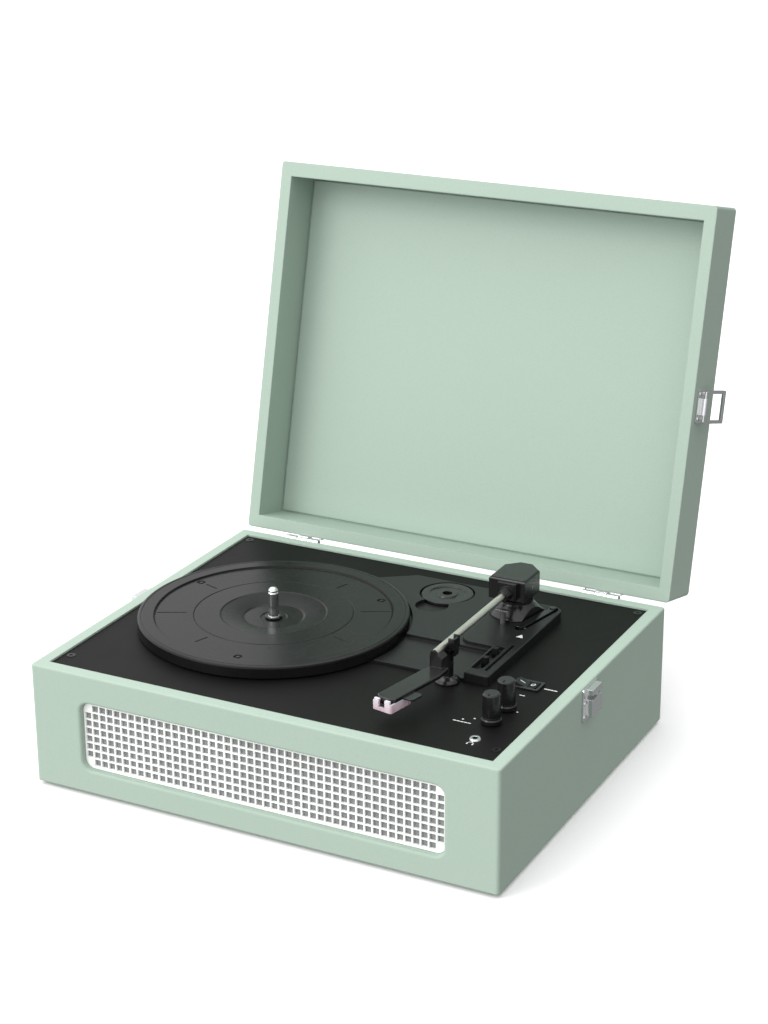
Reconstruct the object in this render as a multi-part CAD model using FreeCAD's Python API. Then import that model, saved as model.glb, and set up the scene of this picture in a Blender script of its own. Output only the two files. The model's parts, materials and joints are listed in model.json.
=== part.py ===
import FreeCAD, Part
import math
import os
from FreeCAD import Vector

# Portable electric record player in a suitcase-style box, lid open. Millimetres, +Z up.
# Everything is laid out from the centre of the case's footprint, with Z = 0 at the soles of the feet.
# put() moves each finished piece back by FOOTPRINT_Y, so the origin is the bottom centre of the
# open player.
FOOTPRINT_Y = 59.0

# Case
CASE_W = 350.0
CASE_D = 284.0
CASE_H = 87.4
WALL = 9.4
FOOT_H = 3.0
BOTTOM_T = 5.0
CASE_TOP = FOOT_H + CASE_H
DECK_RECESS = 1.3
DECK_T = 2.8
DECK_TOP = CASE_TOP - DECK_RECESS
INNER_W = CASE_W - 2 * WALL
INNER_D = CASE_D - 2 * WALL
EDGE_R = 2.5

# Lid
LID_H = 45.5
LID_GAP = 1.0
LID_SIDE = 8.9
LID_FRONT = 11.0
LID_BACK = 9.8
LID_TOP_T = 9.0
LINING_T = 1.4
LID_OPEN_DEG = 103.6
RIM_Z = CASE_TOP + LID_GAP
HINGE_X = 124.0
HINGE_W = 28.0
HINGE_Y = CASE_D / 2 + 3.3
HINGE_Z = CASE_TOP - 2.0
HINGE_PIN_R = 1.3
HINGE_KNUCKLE_R = 2.6
LEAF_T = 1.2

# Side latches: a bail on the lid drops over a hook on the case
LATCH_AXIS_X = CASE_W / 2 + 4.1
LATCH_AXIS_Z = RIM_Z + 13.5
BAIL_LEN = 21.5
BAIL_W = 24.0
BAIL_BAR = 2.5
BAIL_T = 2.0
BAIL_REST_DEG = 17.0
HOOK_W = 16.0

# Front grille
GRILLE_W = 273.0
GRILLE_Z0 = 19.6
GRILLE_Z1 = 69.6
GRILLE_R = 7.0
GRILLE_SETBACK = 4.4
GRILLE_T = 1.6
MESH_PITCH = 5.76
MESH_HOLE = 4.6
MESH_EDGE = 1.8
CLOTH_T = 0.8
BAFFLE_T = 4.0
SPEAKER_X = 78.0
SPEAKER_Z = 44.6
SPEAKER_R = 29.0

# Platter and drive
SPINDLE_X = -63.2
SPINDLE_Y = -5.1
SPINDLE_R = 3.55
SPINDLE_TOP = 116.6
PLATTER_R = 96.0
PLATTER_TOP = 98.6
PLATTER_BOTTOM = 90.2
RIM_IN_R = 84.6
PLATTER_FACE = PLATTER_TOP - 1.1
GROOVE_R = 56.3
MARK_DEG = 27.0
HOLE_DEG = 42.0
HOLE_CIRCLE_R = 78.5
DISH_R = 38.1
DISH_IN_R = 22.1
DISH_FACE = PLATTER_FACE - 4.0
SHAFT_R = 4.0
CLIP_RING_Z = DISH_FACE + 0.3
CLIP_RING_H = 1.2
BELT_RIM_R = 66.0
MOTOR_X = SPINDLE_X + 53.4
MOTOR_Y = SPINDLE_Y + 53.4
PULLEY_R = 7.2
BELT_T = 0.8
BELT_Z = 90.4
BELT_H = 4.0

# Mechanism plate: a low front terrace and a higher rear one on the deck
TERRACE_FRONT = DECK_TOP + 2.2
TERRACE_REAR = DECK_TOP + 4.6
TERRACE_STEP_Y = 11.0
PLATE_FRONT_Y = -33.4
PLATE_BACK_Y = 110.0
PAN_R = 86.0
PAN_FLOOR = 84.2
PAN_T = 2.0
WELL_R = 98.0
WEB_T = 0.5
ADAPTER_X = 27.4
ADAPTER_Y = 89.1
ADAPTER_R = 19.0
RECESS_R = 20.1
RECESS_DEPTH = 4.0
FINGER_R = 12.0

# Arm board
BOARD_TOP = DECK_TOP + 7.0
BOARD_X0 = 72.0
BOARD_X1 = 116.5
BOARD_Y0 = 14.7
BOARD_Y1 = 96.0
TONGUE_X0 = 98.0
TONGUE_Y0 = -33.4
TRAY_X0 = 99.8
TRAY_X1 = 107.4
TRAY_Y0 = -25.0
TRAY_Y1 = 15.0
TRAY_DEPTH = 3.0
SPEED_Y = -10.5
STOP_Y = 6.0
LEVER_X = 103.8

# Tonearm
ARM_X = 88.5
PIVOT_Y = 75.0
ARM_Z = 117.3
TUBE_R = 2.4
TUBE_BORE_R = 1.7
TUBE_FRONT_Y = -57.0
COLLAR_Y = 48.9
HOUSING_X0 = ARM_X - 15.5
HOUSING_X1 = ARM_X + 12.0
HOUSING_Y0 = PIVOT_Y - 14.0
HOUSING_Y1 = PIVOT_Y + 21.0
HOUSING_Z0 = 109.8
HOUSING_Z1 = 125.6
HOUSING_WALL = 2.0
YOKE_GAP = 7.0
TILT_R = 1.4
PIVOT_SHAFT_R = 3.0
CONE_R0 = 19.5
CONE_R1 = 11.5
CONE_TOP = 107.2
SHELL_TOP = 108.0
SHELL_T = 2.6
SHELL_X0 = 93.0
SHELL_Y0 = -54.0
SHELL_LEN = 62.0
SHELL_W0 = 9.5
SHELL_W = 15.0
OFFSET_DEG = 11.4
STYLUS_U = 57.0
GUARD_BOTTOM = 99.2
REST_X = 88.7
REST_Y = -38.5
REST_R = 8.5
CLIP_X = REST_X + 5.8
CLIP_Z = ARM_Z + TUBE_R + 1.7
CLIP_PIN_R = 0.8

# Cue lever, lying in a channel beside the pivot
CUE_X0 = 102.3
CUE_Y0 = 50.0
CUE_X1 = 109.8
CUE_Y1 = 90.0
CHANNEL_W = 8.0
CHANNEL_DEPTH = 4.0
CUE_W = 5.0
CUE_PIN_R = 0.9
CUE_AXIS_Z = BOARD_TOP - 0.7
CUE_INSET = 2.0
LIFT_Y = PIVOT_Y - 23.8
LIFT_TOP = 106.8
LIFT_R = 2.0

# Controls on the deck
KNOB_X = 141.2
VOLUME_Y = -82.0
TONE_Y = -59.2
KNOB_H = 20.5
KNOB_R = 6.2
KNOB_SKIRT_R = 6.9
POT_SHAFT_R = 3.0
SWITCH_X = 139.4
SWITCH_Y = -20.6
SWITCH_W = 20.0
SWITCH_D = 13.6
ROCKER_DEG = 7.0
ROCKER_PIN_R = 1.0
ROCKER_AXIS_Z = DECK_TOP - 0.6
PHONES_X = 141.8
PHONES_Y = -107.6
PHONES_R = 1.8
DECK_SCREW_X = 160.0
DECK_SCREW_YF = -115.2
DECK_SCREW_YB = 126.0

# Back of the case
PANEL_X = 113.0
PANEL_Z = 42.0
PANEL_W = 88.0
PANEL_H = 26.0
PANEL_T = 1.6
RCA_R = 4.15
AUX_R = 1.8
DC_R = 2.85
HANDLE_W = 112.0
HANDLE_Z = 62.0
HANDLE_DROP = 30.0
HANDLE_Y = CASE_D / 2 + 7.0

RUN = 0.05
BODY_GAP = 0.3


def put(name, shape):
    """Move a piece, or a group of separate solids, into the row's frame and write its STEP file."""
    if isinstance(shape, (list, tuple)):
        shape = Part.makeCompound(list(shape))
    moved = shape.copy()
    moved.translate(Vector(0, -FOOTPRINT_Y, 0))
    for solid in moved.Solids:
        if not solid.isValid():
            print("INVALID", name)
    moved.exportStep("parts/" + name + ".step")
    print(f"{name:22s} solids {len(moved.Solids)} volume {moved.Volume:10.1f}")


def box(x0, x1, y0, y1, z0, z1):
    return Part.makeBox(x1 - x0, y1 - y0, z1 - z0, Vector(x0, y0, z0))


def rod(x, y, z, r, length, axis=Vector(0, 0, 1)):
    """A cylinder that starts at the point and runs along axis."""
    return Part.makeCylinder(r, length, Vector(x, y, z), axis)


def tube(x, y, z, r_out, r_in, length, axis=Vector(0, 0, 1)):
    return rod(x, y, z, r_out, length, axis).cut(rod(x, y, z, r_in, length, axis))


def cone(x, y, z, r0, r1, length, axis=Vector(0, 0, 1)):
    return Part.makeCone(r0, r1, length, Vector(x, y, z), axis)


def fuse(*shapes):
    whole = shapes[0].multiFuse(list(shapes[1:]))
    return whole.removeSplitter()


def round_edges(shape, radius, wanted):
    """Fillet the straight edges for which wanted(start, end) is true."""
    edges = []
    for edge in shape.Edges:
        if len(edge.Vertexes) == 2 and wanted(edge.Vertexes[0].Point, edge.Vertexes[1].Point):
            edges.append(edge)
    return shape.makeFillet(radius, edges)


def upright(a, b):
    return abs(a.x - b.x) < 1e-6 and abs(a.y - b.y) < 1e-6 and abs(a.z - b.z) > 1e-6


def slab(x0, x1, y0, y1, z0, z1, radius):
    """A box with its upright edges rounded."""
    return round_edges(box(x0, x1, y0, y1, z0, z1), radius, upright)


def prism(points, z0, z1):
    """A straight-sided prism over a closed outline of (x, y) points."""
    corners = [Vector(x, y, z0) for x, y in points]
    face = Part.Face(Part.makePolygon(corners + [corners[0]]))
    return face.extrude(Vector(0, 0, z1 - z0))


def turned(profile, x, y):
    """A solid of revolution about an upright axis through (x, y), from (radius, z) points."""
    corners = [Vector(x + r, y, z) for r, z in profile]
    face = Part.Face(Part.makePolygon(corners + [corners[0]]))
    return face.revolve(Vector(x, y, 0), Vector(0, 0, 1), 360)


def mirrored_x(shape):
    return shape.mirror(Vector(0, 0, 0), Vector(1, 0, 0))


def open_lid(shape):
    """Turn a piece of the lid from its closed place to its open one."""
    turned_shape = shape.copy()
    turned_shape.rotate(Vector(0, HINGE_Y, HINGE_Z), Vector(1, 0, 0), -LID_OPEN_DEG)
    return turned_shape


def case_opening(depth_from, depth_to, grow=0.0):
    """The grille opening as a rounded slot running along Y."""
    half = GRILLE_W / 2 + grow
    low = GRILLE_Z0 - grow
    high = GRILLE_Z1 + grow
    block = box(-half, half, depth_from, depth_to, low, high)
    return round_edges(block, GRILLE_R + grow, lambda a, b: abs(a.y - b.y) > 1)


def case_walls():
    outer = slab(-CASE_W / 2, CASE_W / 2, -CASE_D / 2, CASE_D / 2, FOOT_H, CASE_TOP, EDGE_R)
    inner = box(-INNER_W / 2, INNER_W / 2, -INNER_D / 2, INNER_D / 2, FOOT_H - 1, CASE_TOP + 1)
    front = -CASE_D / 2
    walls = outer.cut(inner).cut(case_opening(front - 1, front + WALL + 1))
    walls = round_edges(
        walls,
        2.0,
        lambda a, b: abs(a.y - front) < 1e-6
        and abs(b.y - front) < 1e-6
        and max(abs(a.x), abs(b.x)) < GRILLE_W / 2 + 0.1
        and min(a.z, b.z) > GRILLE_Z0 - 0.1
        and max(a.z, b.z) < GRILLE_Z1 + 0.1,
    )
    walls = round_edges(
        walls,
        1.2,
        lambda a, b: abs(a.z - CASE_TOP) < 1e-6
        and abs(b.z - CASE_TOP) < 1e-6
        and (abs(a.y) > CASE_D / 2 - 3 or abs(a.x) > CASE_W / 2 - 3)
        and (abs(b.y) > CASE_D / 2 - 3 or abs(b.x) > CASE_W / 2 - 3),
    )
    half_w = PANEL_W / 2 - 4
    half_h = PANEL_H / 2 - 3
    back = CASE_D / 2
    hole = box(
        PANEL_X - half_w, PANEL_X + half_w, back - WALL - 1, back + 1,
        PANEL_Z - half_h, PANEL_Z + half_h,
    )
    pocket = slab(0, PANEL_W, 0, PANEL_H, 0, 3, 3)
    pocket.rotate(Vector(0, 0, 0), Vector(1, 0, 0), 90)
    pocket.translate(Vector(PANEL_X - PANEL_W / 2, back + 3 - PANEL_T, PANEL_Z - PANEL_H / 2))
    return walls.cut(hole).cut(pocket)


def bottom_board():
    board = box(-INNER_W / 2, INNER_W / 2, -INNER_D / 2, INNER_D / 2, FOOT_H, FOOT_H + BOTTOM_T)
    for x, y in base_screw_places():
        board = board.cut(rod(x, y, FOOT_H - 1, 1.6, BOTTOM_T + 2))
        board = board.cut(cone(x, y, FOOT_H, 3.2, 1.6, 1.6))
    for i in range(-4, 5):
        board = board.cut(slab(i * 9 - 2, i * 9 + 2, 30, 70, FOOT_H - 1, FOOT_H + BOTTOM_T + 1, 1.9))
    for x, y in foot_places():
        board = board.cut(rod(x, y, FOOT_H - 1, 3.0, BOTTOM_T + 2))
    return board


def foot_places():
    return [(sx * 140, sy * 108) for sx in (-1, 1) for sy in (-1, 1)]


def base_screw_places():
    return [(sx * 157, sy * 124) for sx in (-1, 1) for sy in (-1, 1)]


def rubber_feet():
    feet = []
    for x, y in foot_places():
        foot = cone(x, y, 0, 7.2, 8.0, FOOT_H)
        stem = rod(x, y, FOOT_H, 3.0, BOTTOM_T)
        barb = cone(x, y, FOOT_H + BOTTOM_T, 4.0, 2.6, 2.4)
        feet.append(fuse(foot, stem, barb))
    return feet


def base_screws():
    screws = []
    for x, y in base_screw_places():
        head = cone(x, y, FOOT_H, 3.1, 1.5, 1.6)
        shank = rod(x, y, FOOT_H + 1.6, 1.5, 12)
        cross = fuse(box(x - 1.8, x + 1.8, y - 0.35, y + 0.35, FOOT_H - 0.5, FOOT_H + 0.8),
                     box(x - 0.35, x + 0.35, y - 1.8, y + 1.8, FOOT_H - 0.5, FOOT_H + 0.8))
        screws.append(fuse(head, shank).cut(cross))
    return screws


def corner_blocks():
    """Glued blocks that carry the deck's corners and take the screws of the deck and the bottom."""
    blocks = []
    low = FOOT_H + BOTTOM_T
    high = DECK_TOP - DECK_T
    for sx in (-1, 1):
        for sy in (-1, 1):
            x1 = sx * INNER_W / 2
            y1 = sy * INNER_D / 2
            x0 = x1 - sx * 16
            y0 = y1 - sy * (23 if sy < 0 else 16)
            block = box(min(x0, x1), max(x0, x1), min(y0, y1), max(y0, y1), low, high)
            block = block.cut(rod(sx * 157, sy * 124, low - 1, 1.5, 14))
            yd = DECK_SCREW_YB if sy > 0 else DECK_SCREW_YF
            block = block.cut(rod(sx * DECK_SCREW_X, yd, high - 14, 1.5, 15))
            blocks.append(block)
    return blocks


def plate_outline(grow):
    """Outline of the mechanism plate right of the platter, before the round pan is added."""
    return [
        (SPINDLE_X + 10, PLATE_FRONT_Y - grow),
        (BOARD_X1 - 6, PLATE_FRONT_Y - grow),
        (BOARD_X1 - 6, 90),
        (74 + grow, 90),
        (74 + grow, PLATE_BACK_Y + grow),
        (-6.7, PLATE_BACK_Y + grow),
        (-30.0 - grow, 93.5),
    ]


def mechanism_plate():
    """Black moulding on the deck: a round pan under the platter and two terraces beside it."""
    rear_top = prism(plate_outline(0), DECK_TOP, TERRACE_REAR)
    front_cut = box(-200, 200, -200, TERRACE_STEP_Y, TERRACE_FRONT, TERRACE_REAR + 1)
    plate = rear_top.cut(front_cut)
    ring = tube(SPINDLE_X, SPINDLE_Y, DECK_TOP, PAN_R + 5, PAN_R, TERRACE_FRONT - DECK_TOP)
    plate = fuse(plate.cut(rod(SPINDLE_X, SPINDLE_Y, TERRACE_FRONT, WELL_R, 10)), ring)
    plate = plate.cut(tube(SPINDLE_X, SPINDLE_Y, DECK_TOP + WEB_T, WELL_R, PAN_R + 5, 10))
    plate = plate.cut(rod(REST_X, REST_Y, DECK_TOP - 1, REST_R + BODY_GAP, 10))
    plate = plate.cut(rod(SPINDLE_X, SPINDLE_Y, DECK_TOP - 1, PAN_R, 12))
    wall = tube(SPINDLE_X, SPINDLE_Y, PAN_FLOOR, PAN_R + 1.6, PAN_R, TERRACE_FRONT - PAN_FLOOR)
    floor = rod(SPINDLE_X, SPINDLE_Y, PAN_FLOOR - PAN_T, PAN_R + 1.6, PAN_T)
    boss = rod(SPINDLE_X, SPINDLE_Y, PAN_FLOOR - PAN_T, 9.0, 5.4)
    plate = fuse(plate, wall, floor, boss)
    plate = plate.cut(rod(SPINDLE_X, SPINDLE_Y, PAN_FLOOR - 10, SHAFT_R, 30))
    plate = plate.cut(rod(MOTOR_X, MOTOR_Y, PAN_FLOOR - 5, PULLEY_R + 4, 8))
    plate = plate.cut(rod(ADAPTER_X, ADAPTER_Y, TERRACE_REAR - RECESS_DEPTH, RECESS_R, 10))
    plate = plate.cut(rod(ADAPTER_X, ADAPTER_Y - 25.5, TERRACE_REAR - 2.6, FINGER_R, 10))
    return plate.cut(board_outline(BODY_GAP / 2, DECK_TOP - 1, BOARD_TOP + 1))


def deck_plate():
    """Black top board of the case, with openings for the mechanism and the controls."""
    top = DECK_TOP
    low = DECK_TOP - DECK_T
    deck = box(-INNER_W / 2 + 0.2, INNER_W / 2 - 0.2, -INNER_D / 2 + 0.2, INNER_D / 2 - 0.2, low, top)
    deck = deck.cut(rod(SPINDLE_X, SPINDLE_Y, low - 1, PAN_R + 2.0, 10))
    deck = deck.cut(rod(ARM_X, PIVOT_Y, low - 1, 7.0, 10))
    deck = deck.cut(rod(ARM_X, LIFT_Y, low - 1, 2.6, 10))
    for y in (VOLUME_Y, TONE_Y):
        deck = deck.cut(rod(KNOB_X, y, low - 1, 4.0, 10))
    slot_x = SWITCH_W / 2 - 0.9
    slot_y = SWITCH_D / 2 - 0.9
    switch_slot = box(SWITCH_X - slot_x, SWITCH_X + slot_x, SWITCH_Y - slot_y, SWITCH_Y + slot_y, low - 1, top + 1)
    deck = deck.cut(switch_slot)
    deck = deck.cut(rod(PHONES_X, PHONES_Y, low - 1, 3.2, 10))
    for x, y in deck_screw_places():
        deck = deck.cut(rod(x, y, low - 1, 1.7, 10))
        deck = deck.cut(cone(x, y, top - 1.6, 1.7, 3.2, 1.6))
    deck = deck.cut(box(LEVER_X - 3.0, LEVER_X + 3.0, SPEED_Y - 6, STOP_Y + 6, low - 1, top + 1))
    return deck


def deck_screw_places():
    return [(sx * DECK_SCREW_X, y) for sx in (-1, 1) for y in (DECK_SCREW_YF, DECK_SCREW_YB)]


def deck_screws():
    screws = []
    for x, y in deck_screw_places():
        head = cone(x, y, DECK_TOP - 1.6, 1.5, 3.1, 1.6)
        dome = rod(x, y, DECK_TOP, 3.1, 0.3)
        shank = rod(x, y, DECK_TOP - 13, 1.5, 11.4)
        cross = fuse(box(x - 1.7, x + 1.7, y - 0.35, y + 0.35, DECK_TOP - 0.9, DECK_TOP + 1),
                     box(x - 0.35, x + 0.35, y - 1.7, y + 1.7, DECK_TOP - 0.9, DECK_TOP + 1))
        screws.append(fuse(head, dome, shank).cut(cross))
    return screws


def speaker_grille():
    """White square-mesh screen, cut as one sheet with a grid of square holes, in a rounded outline."""
    y = -CASE_D / 2 + GRILLE_SETBACK
    half = GRILLE_W / 2 - 0.2
    low = GRILLE_Z0 + 0.2
    high = GRILLE_Z1 - 0.2
    sheet = box(-half, half, y, y + GRILLE_T, low, high)
    sheet = round_edges(sheet, GRILLE_R - 0.2, lambda a, b: abs(a.y - b.y) > 1)
    face = [f for f in sheet.Faces if abs(f.CenterOfMass.y - y) < 1e-6][0]
    columns = int((2 * half - MESH_EDGE) // MESH_PITCH)
    rows = int((high - low - MESH_EDGE) // MESH_PITCH)
    holes = []
    mid_z = (low + high) / 2
    corner_x = half - GRILLE_R
    corner_z = (high - low) / 2 - GRILLE_R
    for i in range(columns):
        for j in range(rows):
            cx = (i - (columns - 1) / 2) * MESH_PITCH
            cz = mid_z + (j - (rows - 1) / 2) * MESH_PITCH
            over_x = abs(cx) + MESH_HOLE / 2 - corner_x
            over_z = abs(cz - mid_z) + MESH_HOLE / 2 - corner_z
            if over_x > 0 and over_z > 0 and math.hypot(over_x, over_z) > GRILLE_R - 0.8:
                continue
            h = MESH_HOLE / 2
            corners = [Vector(cx - h, y, cz - h), Vector(cx + h, y, cz - h),
                       Vector(cx + h, y, cz + h), Vector(cx - h, y, cz + h)]
            holes.append(Part.makePolygon(corners + [corners[0]]))
    mesh_face = Part.Face([face.OuterWire] + holes)
    if not mesh_face.isValid():
        mesh_face.validate()
    mesh = mesh_face.extrude(Vector(0, GRILLE_T, 0))
    print("grille holes", columns, rows)
    return mesh


def grille_cloth():
    y = -CASE_D / 2 + GRILLE_SETBACK + GRILLE_T + 0.1
    half = GRILLE_W / 2 - 0.4
    cloth = box(-half, half, y, y + CLOTH_T, GRILLE_Z0 + 0.4, GRILLE_Z1 - 0.4)
    return round_edges(cloth, GRILLE_R - 0.4, lambda a, b: abs(a.y - b.y) > 0.5)


def baffle_y():
    return -CASE_D / 2 + WALL


def speaker_baffle():
    """Hardboard behind the front wall that closes the opening and holds the two speakers."""
    y = baffle_y()
    high = DECK_TOP - DECK_T - 3
    board = box(-147, 147, y, y + BAFFLE_T, FOOT_H + BOTTOM_T, high)
    for sx in (-1, 1):
        hole = rod(sx * SPEAKER_X, y - 1, SPEAKER_Z, SPEAKER_R - 3, BAFFLE_T + 2, Vector(0, 1, 0))
        board = board.cut(hole)
    return board


def speaker_frames():
    y = baffle_y() + BAFFLE_T
    along = Vector(0, 1, 0)
    frames = []
    for sx in (-1, 1):
        x = sx * SPEAKER_X
        flange = tube(x, y, SPEAKER_Z, SPEAKER_R + 3, SPEAKER_R - 3, 1.2, along)
        outer = cone(x, y + 1.2, SPEAKER_Z, SPEAKER_R, 15.0, 16, along)
        inner = cone(x, y + 1.2, SPEAKER_Z, SPEAKER_R - 1.2, 13.8, 16, along)
        back = tube(x, y + 17.2, SPEAKER_Z, 15.0, 7.0, 1.4, along)
        frame = fuse(flange, outer.cut(inner), back)
        for k in range(4):
            slot = box(-5, 5, y + 4, y + 14, 14, 40)
            slot.rotate(Vector(0, 0, 0), along, 45 + 90 * k)
            slot.translate(Vector(x, 0, SPEAKER_Z))
            frame = frame.cut(slot)
        frames.append(frame)
    return frames


def speaker_cones():
    y = baffle_y() + BAFFLE_T
    along = Vector(0, 1, 0)
    cones = []
    for sx in (-1, 1):
        x = sx * SPEAKER_X
        outer = cone(x, y + 0.2, SPEAKER_Z, SPEAKER_R - 3.2, 8.0, 12, along)
        inner = cone(x, y - 0.4, SPEAKER_Z, SPEAKER_R - 3.2, 8.0, 12, along)
        coil = tube(x, y + 12.2, SPEAKER_Z, 6.6, 5.8, 8.0, along)
        cap = cone(x, y + 9.0, SPEAKER_Z, 4.0, 9.0, 3.2, along)
        cones.append(fuse(outer.cut(inner), cap, coil))
    return cones


def speaker_magnets():
    y = baffle_y() + BAFFLE_T + 18.6
    along = Vector(0, 1, 0)
    magnets = []
    for sx in (-1, 1):
        x = sx * SPEAKER_X
        ring = rod(x, y, SPEAKER_Z, 19.0, 9.0, along).cut(rod(x, y, SPEAKER_Z, 7.2, 6.0, along))
        pole = rod(x, y, SPEAKER_Z, 5.4, 6.0, along)
        magnets.append(fuse(ring, pole))
    return magnets


def amplifier_board():
    """Circuit board standing on the bottom near the controls, with its larger parts."""
    x0, x1, y0, y1 = 60.0, 150.0, 30.0, 100.0
    z = FOOT_H + BOTTOM_T + 6
    board = box(x0, x1, y0, y1, z, z + 1.6)
    pillars = [rod(x, y, FOOT_H + BOTTOM_T, 3.0, 6) for x in (x0 + 5, x1 - 5) for y in (y0 + 5, y1 - 5)]
    sink = box(x0 + 12, x0 + 42, y0 + 20, y0 + 23, z + 1.6, z + 20)
    fins = [box(x0 + 12 + 7 * i, x0 + 14 + 7 * i, y0 + 23, y0 + 31, z + 1.6, z + 20) for i in range(5)]
    caps = [rod(x1 - 15 - 13 * i, y0 + 18, z + 1.6, 5.0, 14) for i in range(3)]
    chip = box(x0 + 60, x0 + 74, y0 + 42, y0 + 52, z + 1.6, z + 4)
    return fuse(board, *pillars, sink, *fins, *caps, chip)


def control_pots():
    pots = []
    low = DECK_TOP - DECK_T
    for y in (VOLUME_Y, TONE_Y):
        can = rod(KNOB_X, y, low - 10, 8.5, 10)
        bush = rod(KNOB_X, y, low, 3.9, DECK_T + 0.4)
        lugs = box(KNOB_X - 12, KNOB_X - 7, y - 6, y + 6, low - 9, low - 7.6)
        bore = rod(KNOB_X, y, low - 8, POT_SHAFT_R + RUN, 20)
        pots.append(fuse(can, bush, lugs).cut(bore))
    return pots


def knob(y):
    """Tall turned knob with a skirt, a pointer groove and its control shaft."""
    base = DECK_TOP + 0.8
    profile = [
        (0, base), (KNOB_SKIRT_R, base), (KNOB_SKIRT_R, base + 2.6), (KNOB_R, base + 3.4),
        (KNOB_R - 0.3, base + KNOB_H - 0.9), (KNOB_R - 1.2, base + KNOB_H), (0, base + KNOB_H),
    ]
    body = turned(profile, KNOB_X, y)
    body = body.cut(rod(KNOB_X, y, base - 1, POT_SHAFT_R + 1.4, 4.0))
    shaft = rod(KNOB_X, y, DECK_TOP - DECK_T - 7.5, POT_SHAFT_R, 7.5 + DECK_T + 0.8 + 4)
    for k in range(24):
        a = math.radians(15 * k)
        gx = KNOB_X + (KNOB_R + 0.25) * math.cos(a)
        gy = y + (KNOB_R + 0.25) * math.sin(a)
        body = body.cut(rod(gx, gy, base + 4.4, 0.5, KNOB_H - 7.4))
    top = base + KNOB_H
    pointer = box(KNOB_X - 0.5, KNOB_X + 0.5, y - KNOB_R + 0.2, y - 2.0, top - 0.5, top + 1)
    return fuse(body, shaft).cut(pointer)


def power_switch():
    """Frame of the rocker switch, snapped into the deck, open in the middle for the rocker."""
    low = DECK_TOP - DECK_T
    x0 = SWITCH_X - SWITCH_W / 2
    y0 = SWITCH_Y - SWITCH_D / 2
    flange = slab(x0, x0 + SWITCH_W, y0, y0 + SWITCH_D, DECK_TOP, DECK_TOP + 1.4, 1.0)
    body = box(x0 + 1.0, x0 + SWITCH_W - 1, y0 + 1, y0 + SWITCH_D - 1, low - 10, DECK_TOP)
    well = box(x0 + 2.2, x0 + SWITCH_W - 2.2, y0 + 2.2, y0 + SWITCH_D - 2.2, low - 5, DECK_TOP + 3)
    frame = fuse(flange, body).cut(well)
    frame = frame.cut(rod(SWITCH_X, SWITCH_Y - 10, ROCKER_AXIS_Z, ROCKER_PIN_R + RUN, 20, Vector(0, 1, 0)))
    for d in (-6, 0, 6):
        x = SWITCH_X + d
        frame = fuse(frame, box(x - 0.4, x + 0.4, SWITCH_Y - 2, SWITCH_Y + 2, low - 16, low - 10))
    return frame


def power_rocker():
    """Rocker with a shallow V on top, resting with its right end pressed down."""
    half_d = SWITCH_D / 2 - 2.6
    half_pin = SWITCH_D / 2 - 1.3
    points = [(-7.2, 3.6), (0.0, 1.5), (7.2, 3.6), (7.0, -0.6), (1.6, -4.4), (-1.6, -4.4), (-7.0, -0.6)]
    corners = [Vector(SWITCH_X + x, SWITCH_Y - half_d, ROCKER_AXIS_Z + z) for x, z in points]
    face = Part.Face(Part.makePolygon(corners + [corners[0]]))
    rocker = face.extrude(Vector(0, 2 * half_d, 0))
    rocker.rotate(Vector(SWITCH_X, SWITCH_Y, ROCKER_AXIS_Z), Vector(0, 1, 0), ROCKER_DEG)
    pin = rod(SWITCH_X, SWITCH_Y - half_pin, ROCKER_AXIS_Z, ROCKER_PIN_R, 2 * half_pin, Vector(0, 1, 0))
    return fuse(rocker, pin)


def phones_jack():
    low = DECK_TOP - DECK_T
    body = box(PHONES_X - 5, PHONES_X + 5, PHONES_Y - 6, PHONES_Y + 6, low - 12, low)
    bush = rod(PHONES_X, PHONES_Y, low, 3.1, DECK_T)
    ring = cone(PHONES_X, PHONES_Y, DECK_TOP, 4.0, 3.4, 1.0)
    bore = rod(PHONES_X, PHONES_Y, low - 10, PHONES_R, 30)
    return fuse(body, bush, ring).cut(bore)


def jack_panel():
    back = CASE_D / 2
    plate = slab(0, PANEL_W - 0.4, 0, PANEL_H - 0.4, 0, PANEL_T, 2.8)
    plate.rotate(Vector(0, 0, 0), Vector(1, 0, 0), 90)
    plate.translate(Vector(PANEL_X - PANEL_W / 2 + 0.2, back, PANEL_Z - PANEL_H / 2 + 0.2))
    for x, r in jack_places():
        plate = plate.cut(rod(x, back - 5, PANEL_Z, r, 10, Vector(0, 1, 0)))
    for sx in (-1, 1):
        screw_x = PANEL_X + sx * (PANEL_W / 2 - 3.4)
        plate = plate.cut(rod(screw_x, back - 5, PANEL_Z + 8, 1.3, 10, Vector(0, 1, 0)))
    return plate


def jack_places():
    """X of each rear socket and its hole's radius: two line outputs, one aux input, one power inlet."""
    return [(PANEL_X - 28, 6.0), (PANEL_X - 9, 6.0), (PANEL_X + 11, 3.6), (PANEL_X + 30, 5.6)]


def line_out_jacks():
    back = CASE_D / 2
    along = Vector(0, 1, 0)
    jacks = []
    for x, _ in jack_places()[:2]:
        flange = rod(x, back - PANEL_T - 8, PANEL_Z, 6.0, 8 + PANEL_T, along)
        barrel = rod(x, back, PANEL_Z, RCA_R, 8.5, along)
        bore = rod(x, back - 4, PANEL_Z, 1.6, 14, along)
        sleeve = tube(x, back + 1.0, PANEL_Z, 3.4, 1.6, 8, along)
        jacks.append(fuse(flange, barrel).cut(bore).cut(sleeve))
    return jacks


def aux_jack():
    back = CASE_D / 2
    along = Vector(0, 1, 0)
    x = jack_places()[2][0]
    body = box(x - 5, x + 5, back - PANEL_T - 11, back - PANEL_T, PANEL_Z - 5, PANEL_Z + 5)
    bush = rod(x, back - PANEL_T, PANEL_Z, 3.6, PANEL_T + 0.8, along)
    return fuse(body, bush).cut(rod(x, back - 11, PANEL_Z, AUX_R, 20, along))


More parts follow.
